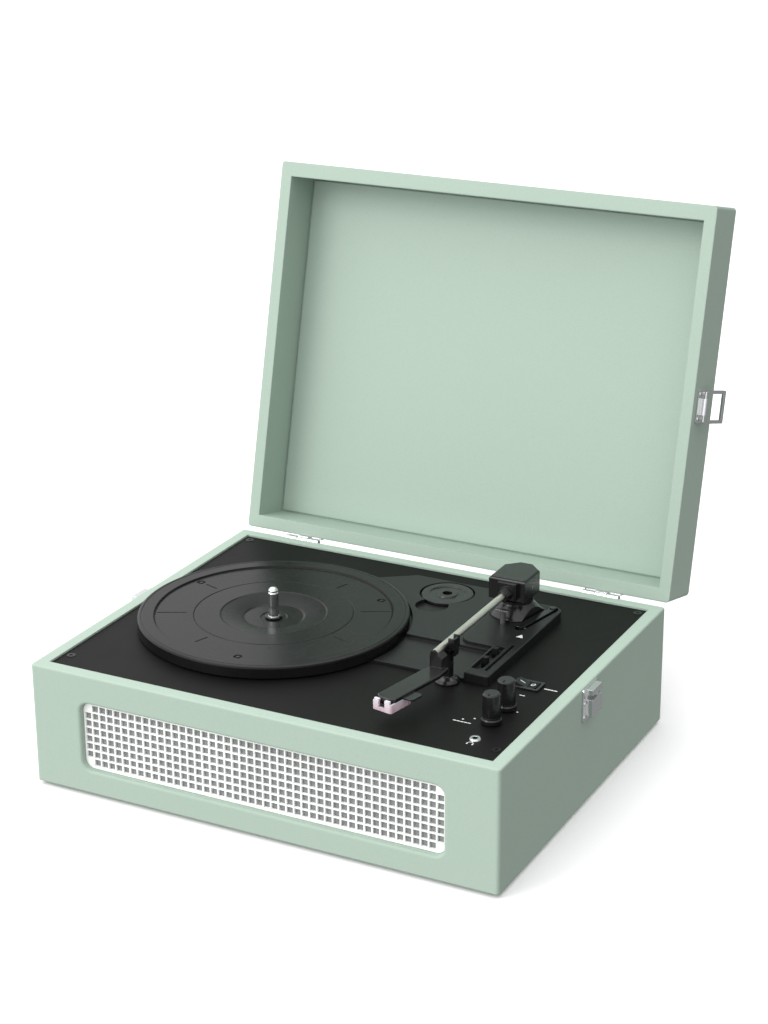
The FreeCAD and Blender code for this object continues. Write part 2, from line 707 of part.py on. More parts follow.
def power_inlet():
    """Low-voltage barrel inlet: a round well with its centre pin."""
    back = CASE_D / 2
    along = Vector(0, 1, 0)
    x = jack_places()[3][0]
    body = box(x - 6, x + 6, back - PANEL_T - 12, back - PANEL_T, PANEL_Z - 6, PANEL_Z + 6)
    bush = rod(x, back - PANEL_T, PANEL_Z, 5.6, PANEL_T + 0.6, along)
    well = rod(x, back - 10.5, PANEL_Z, DC_R, 20, along)
    pin = rod(x, back - 10.5, PANEL_Z, 1.0, 8.5, along)
    return fuse(fuse(body, bush).cut(well), pin)


def spindle():
    """Fixed spindle: a thicker shaft in the platter's hub, and the free end that centres the record."""
    free = CLIP_RING_Z + CLIP_RING_H
    points = [
        (0, PAN_FLOOR - 6), (SHAFT_R, PAN_FLOOR - 6), (SHAFT_R, free), (SPINDLE_R, free),
        (SPINDLE_R, SPINDLE_TOP - 4.2), (SPINDLE_R - 0.5, SPINDLE_TOP - 3.4),
        (SPINDLE_R - 0.5, SPINDLE_TOP - 2.8),
        (SPINDLE_R - 0.1, SPINDLE_TOP - 2.2), (SPINDLE_R - 1.2, SPINDLE_TOP - 0.6),
        (SPINDLE_R - 2.4, SPINDLE_TOP), (0, SPINDLE_TOP),
    ]
    return turned(points, SPINDLE_X, SPINDLE_Y)


def platter():
    """Black cast platter: raised rim, sunken face with a turned groove, a dish and a belt rim below."""
    under = PLATTER_FACE - 2.4
    hub_low = PAN_FLOOR - PAN_T + 5.4 + 0.6
    points = [
        (SHAFT_R + RUN, DISH_FACE), (9.0, DISH_FACE), (9.6, DISH_FACE + 0.6),
        (DISH_IN_R - 1.2, DISH_FACE + 0.6),
        (DISH_IN_R, DISH_FACE + 1.2), (DISH_R - 1.0, PLATTER_FACE - 0.5), (DISH_R, PLATTER_FACE),
        (GROOVE_R - 0.5, PLATTER_FACE), (GROOVE_R, PLATTER_FACE - 0.6), (GROOVE_R + 0.5, PLATTER_FACE),
        (RIM_IN_R - 1.4, PLATTER_FACE), (RIM_IN_R - 0.6, PLATTER_FACE - 0.5),
        (RIM_IN_R, PLATTER_TOP), (PLATTER_R - 3.4, PLATTER_TOP), (PLATTER_R - 2.9, PLATTER_TOP - 0.4),
        (PLATTER_R - 2.4, PLATTER_TOP), (PLATTER_R - 1.4, PLATTER_TOP),
        (PLATTER_R - 0.4, PLATTER_TOP - 0.4), (PLATTER_R, PLATTER_TOP - 1.4),
        (PLATTER_R, PLATTER_BOTTOM), (PLATTER_R - 2.6, PLATTER_BOTTOM), (PLATTER_R - 2.6, under),
        (BELT_RIM_R, under), (BELT_RIM_R, PAN_FLOOR + 5.0), (BELT_RIM_R - 2.2, PAN_FLOOR + 5.0),
        (BELT_RIM_R - 2.2, under), (DISH_R + 1.0, under), (DISH_IN_R, DISH_FACE - 2.0),
        (8.0, DISH_FACE - 2.0),
        (8.0, hub_low), (SHAFT_R + RUN, hub_low),
    ]
    plate = turned(points, SPINDLE_X, SPINDLE_Y)
    for k in range(3):
        a = math.radians(HOLE_DEG + 120 * k)
        hx = SPINDLE_X + HOLE_CIRCLE_R * math.cos(a)
        hy = SPINDLE_Y + HOLE_CIRCLE_R * math.sin(a)
        plate = plate.cut(tube(hx, hy, PLATTER_FACE - 0.7, 3.0, 1.5, 2))
    for k in range(8):
        reach = 21.0 if k % 4 == 0 else 11.0
        if k % 4 == 2:
            reach = 1.4
        mark = box(GROOVE_R + 5, GROOVE_R + 5 + reach, -0.5, 0.5, PLATTER_FACE - 0.5, PLATTER_FACE + 1)
        mark.rotate(Vector(0, 0, 0), Vector(0, 0, 1), MARK_DEG + 45 * k)
        mark.translate(Vector(SPINDLE_X, SPINDLE_Y, 0))
        plate = plate.cut(mark)
    return plate


def spindle_clip():
    """Spring collar pressed on the spindle, which keeps the platter down."""
    z = CLIP_RING_Z
    ring = tube(SPINDLE_X, SPINDLE_Y, z, 6.2, SHAFT_R, CLIP_RING_H)
    slot = box(SPINDLE_X + 2, SPINDLE_X + 8, SPINDLE_Y - 1.0, SPINDLE_Y + 1.0, z - 1, z + 3)
    return ring.cut(slot)


def drive_motor():
    top = PAN_FLOOR - PAN_T
    can = rod(MOTOR_X, MOTOR_Y, top - 3 - 24, 13.0, 24)
    neck = rod(MOTOR_X, MOTOR_Y, top - 3, 5.0, 3)
    bore = rod(MOTOR_X, MOTOR_Y, top - 3 - 22, 1.0 + RUN, 30)
    ear = rod(MOTOR_X, MOTOR_Y, top - 1, 16.0, 1.0)
    return fuse(can, neck, ear).cut(bore)


def motor_pulley():
    """Two-step brass pulley on its shaft: one step for each of the main speeds."""
    top = PAN_FLOOR - PAN_T
    shaft = rod(MOTOR_X, MOTOR_Y, top - 20, 1.0, 20 + 2.0)
    hub = rod(MOTOR_X, MOTOR_Y, top + 1.0, 4.4, BELT_Z - top - 1.6)
    flange = rod(MOTOR_X, MOTOR_Y, BELT_Z - 0.8, PULLEY_R + 1.2, 0.6)
    drum = rod(MOTOR_X, MOTOR_Y, BELT_Z - 0.2, PULLEY_R, BELT_H + 0.2)
    return fuse(shaft, hub, flange, drum)


def drive_belt():
    """Flat rubber loop round the belt rim and the pulley, as two arcs joined by their common tangents."""
    big = BELT_RIM_R + BODY_GAP
    small = PULLEY_R + BODY_GAP
    dx = MOTOR_X - SPINDLE_X
    dy = MOTOR_Y - SPINDLE_Y
    gap = math.hypot(dx, dy)
    heading = math.atan2(dy, dx)

    def loop(grow):
        lean = math.acos((big - small) / gap)
        r1 = big + grow
        r2 = small + grow

        def at(cx, cy, r, angle):
            return Vector(cx + r * math.cos(angle), cy + r * math.sin(angle), BELT_Z)

        a = at(SPINDLE_X, SPINDLE_Y, r1, heading + lean)
        b = at(SPINDLE_X, SPINDLE_Y, r1, heading + math.pi)
        c = at(SPINDLE_X, SPINDLE_Y, r1, heading - lean)
        d = at(MOTOR_X, MOTOR_Y, r2, heading - lean)
        e = at(MOTOR_X, MOTOR_Y, r2, heading)
        f = at(MOTOR_X, MOTOR_Y, r2, heading + lean)
        edges = [
            Part.Arc(a, b, c).toShape(), Part.makeLine(c, d),
            Part.Arc(d, e, f).toShape(), Part.makeLine(f, a),
        ]
        return Part.Face(Part.Wire(edges)).extrude(Vector(0, 0, BELT_H))

    return loop(BELT_T).cut(loop(0))


def adapter_45():
    """Puck that centres a record with a large hole, lying in its recess."""
    z = TERRACE_REAR - RECESS_DEPTH
    points = [
        (3.65, z), (ADAPTER_R, z), (ADAPTER_R, z + 3.4), (ADAPTER_R - 0.7, z + 4.0),
        (13.5, z + 4.0), (12.8, z + 3.2), (8.0, z + 3.2), (7.4, z + 4.0), (3.65, z + 4.0),
    ]
    return turned(points, ADAPTER_X, ADAPTER_Y)


def board_outline(grow, z0, z1):
    """The arm board's L-shaped outline: a wide block round the pivot and a tongue to the front."""
    wide = slab(BOARD_X0 - grow, BOARD_X1 + grow, BOARD_Y0 - grow, BOARD_Y1 + grow, z0, z1, 9.0 + grow)
    tongue = slab(TONGUE_X0 - grow, BOARD_X1 + grow, TONGUE_Y0 - grow, BOARD_Y0 + 20, z0, z1, 1.5)
    return fuse(wide, tongue)


def cue_line(inset):
    """A point on the cue channel's centre line, inset along it from the pivot end."""
    length = math.hypot(CUE_X1 - CUE_X0, CUE_Y1 - CUE_Y0)
    ux = (CUE_X1 - CUE_X0) / length
    uy = (CUE_Y1 - CUE_Y0) / length
    return CUE_X0 + ux * inset, CUE_Y0 + uy * inset, ux, uy, length


def stadium(width, start, z0, z1):
    """A round-ended bar along the cue channel, from start to the channel's far end."""
    x0, y0, ux, uy, length = cue_line(start)
    r = width / 2
    bar = box(0, length - start, -r, r, z0, z1)
    bar.rotate(Vector(0, 0, 0), Vector(0, 0, 1), math.degrees(math.atan2(uy, ux)))
    bar.translate(Vector(x0, y0, 0))
    return fuse(bar, rod(x0, y0, z0, r, z1 - z0), rod(CUE_X1, CUE_Y1, z0, r, z1 - z0))


def cue_pin(radius, half):
    """Cross pin at the front end of the cue lever, square to the channel."""
    run = Vector(CUE_X1 - CUE_X0, CUE_Y1 - CUE_Y0, 0)
    run.normalize()
    across = Vector(-run.y, run.x, 0)
    start = Vector(CUE_X0, CUE_Y0, CUE_AXIS_Z) + run * CUE_INSET - across * half
    return Part.makeCylinder(radius, 2 * half, start, across)


def arm_board():
    board = board_outline(0, DECK_TOP, BOARD_TOP)
    board = round_edges(
        board, 0.8,
        lambda a, b: abs(a.z - BOARD_TOP) < 1e-6 and abs(b.z - BOARD_TOP) < 1e-6,
    )
    board = board.cut(stadium(CHANNEL_W, 0, BOARD_TOP - CHANNEL_DEPTH, BOARD_TOP + 2))
    board = board.cut(cue_pin(CUE_PIN_R + RUN, CHANNEL_W / 2 + 1.4))
    tray = slab(TRAY_X0, TRAY_X1, TRAY_Y0, TRAY_Y1, BOARD_TOP - TRAY_DEPTH, BOARD_TOP + 2, 1.2)
    board = board.cut(tray)
    groove = slab(109.6, 111.8, TRAY_Y0, TRAY_Y1 + 6, BOARD_TOP - 2.0, BOARD_TOP + 2, 1.0)
    board = board.cut(groove)
    for y, reach in ((SPEED_Y, 5.4), (STOP_Y, 4.4)):
        slot = slab(LEVER_X - 1.4, LEVER_X + 1.4, y - reach, y + reach, DECK_TOP - 1, BOARD_TOP, 1.3)
        board = board.cut(slot)
    board = board.cut(rod(ARM_X, PIVOT_Y, DECK_TOP - 1, 7.0, 20))
    board = board.cut(rod(ARM_X, LIFT_Y, DECK_TOP - 1, LIFT_R + RUN, 20))
    return board


def arm_base():
    """Fixed cone that carries the tonearm's upright bearing."""
    points = [
        (PIVOT_SHAFT_R + RUN, BOARD_TOP), (CONE_R0, BOARD_TOP), (CONE_R0, BOARD_TOP + 0.9),
        (CONE_R0 - 1.0, BOARD_TOP + 1.7), (CONE_R1 + 0.6, CONE_TOP - 2.6),
        (CONE_R1, CONE_TOP - 1.8), (CONE_R1, CONE_TOP),
        (PIVOT_SHAFT_R + RUN, CONE_TOP),
    ]
    body = turned(points, ARM_X, PIVOT_Y)
    body = body.cut(stadium(CHANNEL_W + 0.6, -1.0, BOARD_TOP - 1, CONE_TOP + 1))
    stem = tube(ARM_X, PIVOT_Y, DECK_TOP - DECK_T - 6, 6.8, PIVOT_SHAFT_R + RUN, DECK_T + 6 + 7)
    nut = tube(ARM_X, PIVOT_Y, DECK_TOP - DECK_T - 4, 10.0, 6.8, 4)
    return fuse(body, stem, nut)


def arm_pivot():
    """Swinging post with a yoke whose two ears take the tilt axle."""
    z = CONE_TOP + 0.3
    shaft = rod(ARM_X, PIVOT_Y, DECK_TOP - DECK_T - 5.5, PIVOT_SHAFT_R, z - DECK_TOP + DECK_T + 5.5)
    bridge = box(ARM_X - YOKE_GAP - 2, ARM_X + YOKE_GAP + 2, PIVOT_Y - 4, PIVOT_Y + 4, z, z + 2.2)
    whole = fuse(shaft, bridge)
    for sx in (-1, 1):
        x = ARM_X + sx * (YOKE_GAP + 1)
        ear = box(x - 1, x + 1, PIVOT_Y - 4, PIVOT_Y + 4, z, ARM_Z + 3)
        whole = fuse(whole, ear)
    return whole.cut(rod(ARM_X - 20, PIVOT_Y, ARM_Z, TILT_R + RUN, 40, Vector(1, 0, 0)))


def housing_outline(inset, z0, z1):
    c = 9.0
    x0 = HOUSING_X0 + inset
    x1 = HOUSING_X1 - inset
    y0 = HOUSING_Y0 + inset
    y1 = HOUSING_Y1 - inset
    points = [(x0, y0), (x1, y0), (x1, y1 - c), (x1 - c, y1), (x0 + c, y1), (x0, y1 - c)]
    return prism(points, z0, z1)


def arm_housing():
    """Hood over the pivot, open below, with a collar in front for the tube."""
    hood = housing_outline(0, HOUSING_Z0, HOUSING_Z1)
    hood = hood.makeFillet(1.6, [e for e in hood.Edges if e.BoundBox.ZMin > HOUSING_Z1 - 1e-6])
    hood = hood.cut(housing_outline(HOUSING_WALL, HOUSING_Z0 - 1, HOUSING_Z1 - HOUSING_WALL))
    collar_root = HOUSING_Y0 + HOUSING_WALL
    collar = cone(ARM_X, collar_root, ARM_Z, 6.0, 3.6, collar_root - COLLAR_Y, Vector(0, -1, 0))
    front = box(ARM_X - 7, ARM_X + 7, HOUSING_Y0 - 4.5, HOUSING_Y0 + 1, ARM_Z - 5.0, HOUSING_Z1 - 1.2)
    front = round_edges(front, 1.2, lambda a, b: min(a.y, b.y) < HOUSING_Y0 - 4 and abs(a.z - b.z) > 1)
    ridge = box(
        HOUSING_X0 + 1.5, HOUSING_X1 - 1.5, HOUSING_Y0 + 0.6, HOUSING_Y0 + 4.2,
        HOUSING_Z1 - 1, HOUSING_Z1 + 0.5,
    )
    hood = fuse(hood, front, collar, ridge)
    hood = hood.cut(rod(ARM_X, HOUSING_Y0 + 6, ARM_Z, TUBE_R, 40, Vector(0, -1, 0)))
    hood = hood.cut(rod(HOUSING_X0 - 1, PIVOT_Y, ARM_Z, TILT_R, 60, Vector(1, 0, 0)))
    web = box(HOUSING_X0 + 1, HOUSING_X1 - 1, PIVOT_Y + 6, PIVOT_Y + 7.4, HOUSING_Z0 + 1, HOUSING_Z1 - 1)
    hole = rod(ARM_X, PIVOT_Y, ARM_Z, 3.0, 20, Vector(0, 1, 0))
    return fuse(hood, web.cut(hole))


def tilt_axle():
    length = HOUSING_X1 - HOUSING_X0
    return rod(HOUSING_X0, PIVOT_Y, ARM_Z, TILT_R, length, Vector(1, 0, 0))


def counterweight():
    y = PIVOT_Y + 7.4
    disc = rod(ARM_X - 1.5, y, HOUSING_Z0 + 6.4, 4.8, 9.0, Vector(0, 1, 0))
    return disc


def arm_tube():
    start = HOUSING_Y0 + 3
    return tube(ARM_X, start, ARM_Z, TUBE_R, TUBE_BORE_R, start - TUBE_FRONT_Y, Vector(0, -1, 0))


def shell_frame(shape):
    """Turn a piece laid out along +X into the headshell's place at its offset angle."""
    moved = shape.copy()
    moved.rotate(Vector(0, 0, 0), Vector(0, 0, 1), -90 - OFFSET_DEG)
    moved.translate(Vector(SHELL_X0, SHELL_Y0, 0))
    return moved


def headshell():
    """Flat tapered shell below the tube's end, hung from it by a neck."""
    low = SHELL_TOP - SHELL_T
    points = [
        (0, -SHELL_W0 / 2), (0, SHELL_W0 / 2), (13, SHELL_W / 2), (SHELL_LEN - 3, SHELL_W / 2),
        (SHELL_LEN, SHELL_W / 2 - 3), (SHELL_LEN, -SHELL_W / 2 + 3),
        (SHELL_LEN - 3, -SHELL_W / 2), (13, -SHELL_W / 2),
    ]
    plate = prism(points, low, SHELL_TOP)
    plate = plate.makeFillet(0.9, [e for e in plate.Edges if e.BoundBox.ZMin > SHELL_TOP - 1e-6])
    plate = plate.cut(box(34, SHELL_LEN - 1.6, -SHELL_W / 2 + 1.4, SHELL_W / 2 - 1.4, low - 1, low + 1.3))
    lift = box(40, 52, SHELL_W / 2 - 1, SHELL_W / 2 + 7.5, low, low + 1.0)
    lift = round_edges(lift, 3.0, lambda a, b: upright(a, b) and min(a.y, b.y) > SHELL_W / 2 + 5)
    plate = fuse(plate, lift)
    plate = shell_frame(plate)
    neck = box(
        ARM_X - 2.8, SHELL_X0 + 1.5, TUBE_FRONT_Y - 1.6, TUBE_FRONT_Y + 7.0,
        SHELL_TOP - 1, ARM_Z - 0.6,
    )
    corner = [e for e in neck.Edges if e.BoundBox.XMin > SHELL_X0 + 1 and e.BoundBox.ZMin > ARM_Z - 1]
    neck = neck.makeChamfer(2.4, corner)
    cap = rod(ARM_X, TUBE_FRONT_Y, ARM_Z, TUBE_R, 1.6, Vector(0, -1, 0))
    plug = rod(ARM_X, TUBE_FRONT_Y, ARM_Z, TUBE_BORE_R, 6.0, Vector(0, 1, 0))
    neck = neck.cut(rod(ARM_X, TUBE_FRONT_Y, ARM_Z, TUBE_R, 20, Vector(0, 1, 0)))
    return fuse(plate, neck, cap, plug)


def cartridge():
    low = SHELL_TOP - SHELL_T
    floor = GUARD_BOTTOM + 2.8
    body = box(36, SHELL_LEN - 2.2, -5.2, 5.2, floor, low + 1.3)
    body = round_edges(body, 0.8, upright)
    lug = box(37, 42, -3.0, 3.0, floor - 1.4, floor)
    return shell_frame(fuse(body, lug))


def stylus():
    """Red stylus carrier clipped under the cartridge, with its cantilever and tip."""
    low = GUARD_BOTTOM
    carrier = box(44, 56, -2.4, 2.4, low + 1.2, low + 2.8)
    lever = rod(53, 0, low + 1.9, 0.45, 5.0, Vector(1, 0, -0.12))
    tip = cone(STYLUS_U, 0, low + 0.5, 0.15, 0.5, 1.3)
    return shell_frame(fuse(carrier, lever, tip))


def stylus_guard():
    """Pale bumper pushed over the front of the cartridge: two cheeks, a floor and a notched front."""
    x0 = 43.0
    x1 = SHELL_LEN + 2.4
    half = SHELL_W / 2 + 0.2
    wall = 1.4
    top = SHELL_TOP - SHELL_T - BODY_GAP
    cheeks = slab(x0, x1, -half, half, GUARD_BOTTOM, top, 1.6)
    nose = slab(SHELL_LEN + BODY_GAP, x1, -half + 1.4, half - 1.4, GUARD_BOTTOM, SHELL_TOP - 0.8, 0.9)
    shell = fuse(cheeks, nose)
    shell = shell.cut(box(x0 - 1, x1 - 1.5, -half + wall, half - wall, GUARD_BOTTOM - 1, top + 1))
    floor = box(x0 + 16.5, x1 - 0.6, -half + 0.8, half - 0.8, GUARD_BOTTOM, GUARD_BOTTOM + 0.8)
    rib = box(x0 + 4, x0 + 5.2, -half - 0.5, half + 0.5, GUARD_BOTTOM + 1.0, top - 0.6)
    rib = rib.cut(box(x0 + 3, x0 + 6, -half + wall, half - wall, GUARD_BOTTOM - 1, top + 1))
    notch = box(x1 - 3, x1 + 1, -2.4, 2.4, GUARD_BOTTOM + 2.4, SHELL_TOP + 1)
    return shell_frame(fuse(shell, floor, rib).cut(notch))


def arm_rest():
    """Post on the deck with a round foot and a flat bed under the tube, and two ears for the clip's pin."""
    z = DECK_TOP
    low = ARM_Z - TUBE_R - BODY_GAP
    foot = turned(
        [(0, z), (REST_R, z), (REST_R, z + 1.4), (REST_R - 1.6, z + 3.0), (4.0, z + 4.4), (0, z + 4.4)],
        REST_X, REST_Y,
    )
    post = box(REST_X - 3.4, REST_X + 3.4, REST_Y - 2.8, REST_Y + 2.8, z + 3, low - 2)
    head = box(REST_X - 4.4, REST_X + 4.4, REST_Y - 4.7, REST_Y + 4.7, low - 5, low)
    pin_hole = rod(CLIP_X, REST_Y - 6, CLIP_Z, CLIP_PIN_R + RUN, 12, Vector(0, 1, 0))
    pieces = [fuse(foot, post, head)]
    for y in (REST_Y - 4.7, REST_Y + 3.5):
        ear = box(REST_X + 2.9, CLIP_X + 1.3, y, y + 1.2, low, CLIP_Z + 1.3)
        pieces.append(ear.cut(pin_hole))
    return Part.makeCompound(pieces)


def arm_clip():
    """Lock flap on the right of the rest, hanging open from its pin."""
    pin = rod(CLIP_X, REST_Y - 4.7, CLIP_Z, CLIP_PIN_R, 9.4, Vector(0, 1, 0))
    flap = box(CLIP_X, CLIP_X + 1.3, REST_Y - 3.0, REST_Y + 3.0, CLIP_Z - 10.5, CLIP_Z + 0.6)
    tip = box(CLIP_X - 0.9, CLIP_X + 1.3, REST_Y - 3.0, REST_Y + 3.0, CLIP_Z - 11.4, CLIP_Z - 10.0)
    return fuse(pin, flap, tip)


def cue_lever():
    """Finger lever lying in its channel; raising it lifts the arm."""
    z1 = BOARD_TOP + 1.0
    z0 = BOARD_TOP - CHANNEL_DEPTH + 1.6
    bar = stadium(CUE_W, CUE_INSET, z0, z1)
    pad = rod(CUE_X1, CUE_Y1, z1 - 1, 2.3, 1.6)
    return fuse(bar, pad, cue_pin(CUE_PIN_R, CHANNEL_W / 2 + 1.1))


def lift_pin():
    """Upright pin with a pad under the arm tube, pushed up by the cue lever."""
    shaft = rod(ARM_X, LIFT_Y, DECK_TOP - 4, LIFT_R, LIFT_TOP - DECK_TOP + 4)
    pad = box(ARM_X - 5, ARM_X + 5, LIFT_Y - 1.6, LIFT_Y + 1.6, LIFT_TOP - 1.6, LIFT_TOP)
    return fuse(shaft, pad)


def lever_post(y):
    floor = BOARD_TOP - TRAY_DEPTH
    foot = box(LEVER_X - 2.6, LEVER_X + 2.6, y - 1.6, y + 1.6, floor + 0.3, floor + 1.3)
    stem = box(LEVER_X - 1.1, LEVER_X + 1.1, y - 1.2, y + 1.2, DECK_TOP - 2, floor + 1)
    grip = box(LEVER_X - 2.2, LEVER_X + 2.2, y - 1.8, y + 1.8, floor + 1.3, BOARD_TOP + 3.0)
    grip = round_edges(grip, 0.6, upright)
    return fuse(foot, stem, grip)


def lid_shell():
    outer = slab(-CASE_W / 2, CASE_W / 2, -CASE_D / 2, CASE_D / 2, RIM_Z, RIM_Z + LID_H, EDGE_R)
    outer = outer.makeFillet(4.0, [e for e in outer.Edges if e.BoundBox.ZMin > RIM_Z + LID_H - 1e-6])
    inner = box(
        -CASE_W / 2 + LID_SIDE, CASE_W / 2 - LID_SIDE,
        -CASE_D / 2 + LID_FRONT, CASE_D / 2 - LID_BACK,
        RIM_Z - 1, RIM_Z + LID_H - LID_TOP_T,
    )
    return open_lid(outer.cut(inner))


def lid_lining():
    gap = 1.0
    z1 = RIM_Z + LID_H - LID_TOP_T
    panel = slab(
        -CASE_W / 2 + LID_SIDE + gap, CASE_W / 2 - LID_SIDE - gap,
        -CASE_D / 2 + LID_FRONT + gap, CASE_D / 2 - LID_BACK - gap,
        z1 - LINING_T, z1, 1.5,
    )
    panel = panel.makeFillet(0.9, [e for e in panel.Edges if e.BoundBox.ZMax < z1 - LINING_T + 1e-6])
    return open_lid(panel)


def knuckle(x0, x1, bore):
    return tube(x0, HINGE_Y, HINGE_Z, HINGE_KNUCKLE_R, bore, x1 - x0, Vector(1, 0, 0))


def hinge_case_leaves():
    leaves = []
    back = CASE_D / 2
    third = HINGE_W / 3
    for cx in (-HINGE_X, HINGE_X):
        x0 = cx - HINGE_W / 2
        x1 = cx + HINGE_W / 2
        leaf = box(x0, x1, back, back + LEAF_T, HINGE_Z - 22, HINGE_Z - 3.2)
        outer = [knuckle(x0, x0 + third - 0.2, HINGE_PIN_R), knuckle(x1 - third + 0.2, x1, HINGE_PIN_R)]
        webs = [
            box(x0, x0 + third - 0.2, back, back + LEAF_T, HINGE_Z - 4, HINGE_Z),
            box(x1 - third + 0.2, x1, back, back + LEAF_T, HINGE_Z - 4, HINGE_Z),
        ]
        screws = [rod(cx + dx, back + LEAF_T, HINGE_Z - 14, 2.6, 0.8, Vector(0, 1, 0)) for dx in (-8, 8)]
        whole = fuse(leaf, *outer, *webs, *screws)
        whole = whole.cut(rod(x0 - 1, HINGE_Y, HINGE_Z, HINGE_PIN_R, HINGE_W + 2, Vector(1, 0, 0)))
        leaves.append(whole)
    return leaves


def hinge_lid_leaves():
    leaves = []
    back = CASE_D / 2
    third = HINGE_W / 3
    for cx in (-HINGE_X, HINGE_X):
        x0 = cx - HINGE_W / 2
        x1 = cx + HINGE_W / 2
        leaf = box(x0, x1, back, back + LEAF_T, HINGE_Z + 3.2, HINGE_Z + 22)
        middle = knuckle(x0 + third + 0.2, x1 - third - 0.2, HINGE_PIN_R + RUN)
        web = box(x0 + third + 0.2, x1 - third - 0.2, back, back + LEAF_T, HINGE_Z, HINGE_Z + 4)
        screws = [rod(cx + dx, back + LEAF_T, HINGE_Z + 14, 2.6, 0.8, Vector(0, 1, 0)) for dx in (-8, 8)]
        whole = fuse(leaf, middle, web, *screws)
        whole = whole.cut(rod(x0 - 1, HINGE_Y, HINGE_Z, HINGE_PIN_R + RUN, HINGE_W + 2, Vector(1, 0, 0)))
        leaves.append(open_lid(whole))
    return leaves


def hinge_pins():
    pins = []
    for cx in (-HINGE_X, HINGE_X):
        pins.append(rod(cx - HINGE_W / 2, HINGE_Y, HINGE_Z, HINGE_PIN_R, HINGE_W, Vector(1, 0, 0)))
    return pins


def latch_plate():
    """Plate on the lid's right side with one wide knuckle for the bail."""
    x = CASE_W / 2
    z = LATCH_AXIS_Z
    plate = box(x, x + 1.2, -12, 12, z - 7, z + 7)
    plate = round_edges(plate, 1.5, lambda a, b: abs(a.x - b.x) > 1)
    block = box(x, LATCH_AXIS_X, -6, 6, z - 2.2, z + 2.2)
    barrel = rod(LATCH_AXIS_X, -6, z, 2.2, 12, Vector(0, 1, 0))
    whole = fuse(plate, block, barrel)
    whole = whole.cut(rod(LATCH_AXIS_X, -8, z, 1.0 + RUN, 16, Vector(0, 1, 0)))
    rivets = [rod(x + 1.2, dy, z + dz, 1.5, 0.6, Vector(1, 0, 0)) for dy in (-9, 9) for dz in (-4, 4)]
    return fuse(whole, *rivets)


def latch_bail():
    """Rectangular wire bail on the right side, drawn hanging down and turned to its rest angle."""
    x = LATCH_AXIS_X
    z = LATCH_AXIS_Z
    half = BAIL_W / 2
    frame = slab(-half, half, -BAIL_LEN - BAIL_BAR / 2, 0, -BAIL_T / 2, BAIL_T / 2, 0.01 + 1.2)
    window = box(-half + BAIL_BAR, half - BAIL_BAR, -BAIL_LEN + BAIL_BAR / 2, 1, -2, 2)
    frame = frame.cut(window)
    frame.rotate(Vector(0, 0, 0), Vector(1, 0, 0), 90)
    frame.rotate(Vector(0, 0, 0), Vector(0, 0, 1), 90)
    frame.translate(Vector(x, 0, z))
    top_bar = rod(x, -half + 1.0, z, 1.0, BAIL_W - 2.0, Vector(0, 1, 0))
    bail = fuse(frame, top_bar)
    bail.rotate(Vector(x, 0, z), Vector(0, 1, 0), -(180 - BAIL_REST_DEG))
    return bail


def case_catch():
    """Plate and hook block on the case's right side, with a groove that takes the bail's cross bar."""
    x = CASE_W / 2
    plate = box(x, x + 1.2, -12.5, 12.5, 66.0, CASE_TOP - 1.0)
    plate = round_edges(plate, 1.5, lambda a, b: abs(a.x - b.x) > 1)
    half = HOOK_W / 2
    block = box(x, x + 6.0, -half, half, 69.0, CASE_TOP - 1.5)
    block = round_edges(block, 1.0, lambda a, b: abs(a.y - b.y) > 1 and min(a.x, b.x) > x + 5)
    bar_z = LATCH_AXIS_Z - BAIL_LEN
    reach = BAIL_BAR / 2 + 0.4
    groove = box(x + 2.0, x + 7.0, -half - 1, half + 1, bar_z - reach, bar_z + reach)
    rivets = [rod(x + 1.2, dy, z, 1.3, 0.6, Vector(1, 0, 0)) for dy in (-10.3, 10.3) for z in (69.0, 79.0)]
    return fuse(plate, block.cut(groove), *rivets)


def handle_brackets():
    back = CASE_D / 2
    brackets = []
    for sx in (-1, 1):
        x = sx * (HANDLE_W / 2)
        plate = box(x - 9, x + 9, back, back + 1.4, HANDLE_Z - 9, HANDLE_Z + 9)
        plate = round_edges(plate, 3.0, lambda a, b: abs(a.y - b.y) > 1)
        lug = box(x - 3, x + 3, back, HANDLE_Y, HANDLE_Z - 3.4, HANDLE_Z + 3.4)
        loop = rod(x - 3, HANDLE_Y, HANDLE_Z, 3.4, 6, Vector(1, 0, 0))
        screws = [rod(x + dx, back + 1.4, HANDLE_Z, 2.2, 0.8, Vector(0, 1, 0)) for dx in (-6, 6)]
        whole = fuse(plate, lug, loop, *screws)
        brackets.append(whole.cut(rod(x - 5, HANDLE_Y, HANDLE_Z, 1.6 + RUN, 10, Vector(1, 0, 0))))
    return brackets


def carry_handle():
    """Grip on two arms, hanging from pins in the brackets."""
    inner = HANDLE_W / 2 - 3 - 0.3
    grip_z = HANDLE_Z - HANDLE_DROP
    pieces = []
    for sx in (-1, 1):
        x0 = sx * inner
        x1 = sx * (inner - 5)
        arm = box(min(x0, x1), max(x0, x1), HANDLE_Y - 2.2, HANDLE_Y + 2.2, grip_z, HANDLE_Z + 2.6)
        pin = rod(min(x1, x0 + sx * 5.8), HANDLE_Y, HANDLE_Z, 1.6, abs(x0 + sx * 5.8 - x1), Vector(1, 0, 0))
        pieces += [arm, pin]
    grip = slab(-inner, inner, HANDLE_Y - 5.2, HANDLE_Y + 5.2, grip_z - 7, grip_z + 7, 2.0)
    grip = round_edges(grip, 3.6, lambda a, b: abs(a.x - b.x) > 20)
    return fuse(grip, *pieces)


def write_case():
    put("case_walls", case_walls())
    put("bottom_board", bottom_board())
    put("rubber_feet", rubber_feet())
    put("base_screws", base_screws())
    put("corner_blocks", corner_blocks())
    put("deck_plate", deck_plate())
    put("deck_screws", deck_screws())


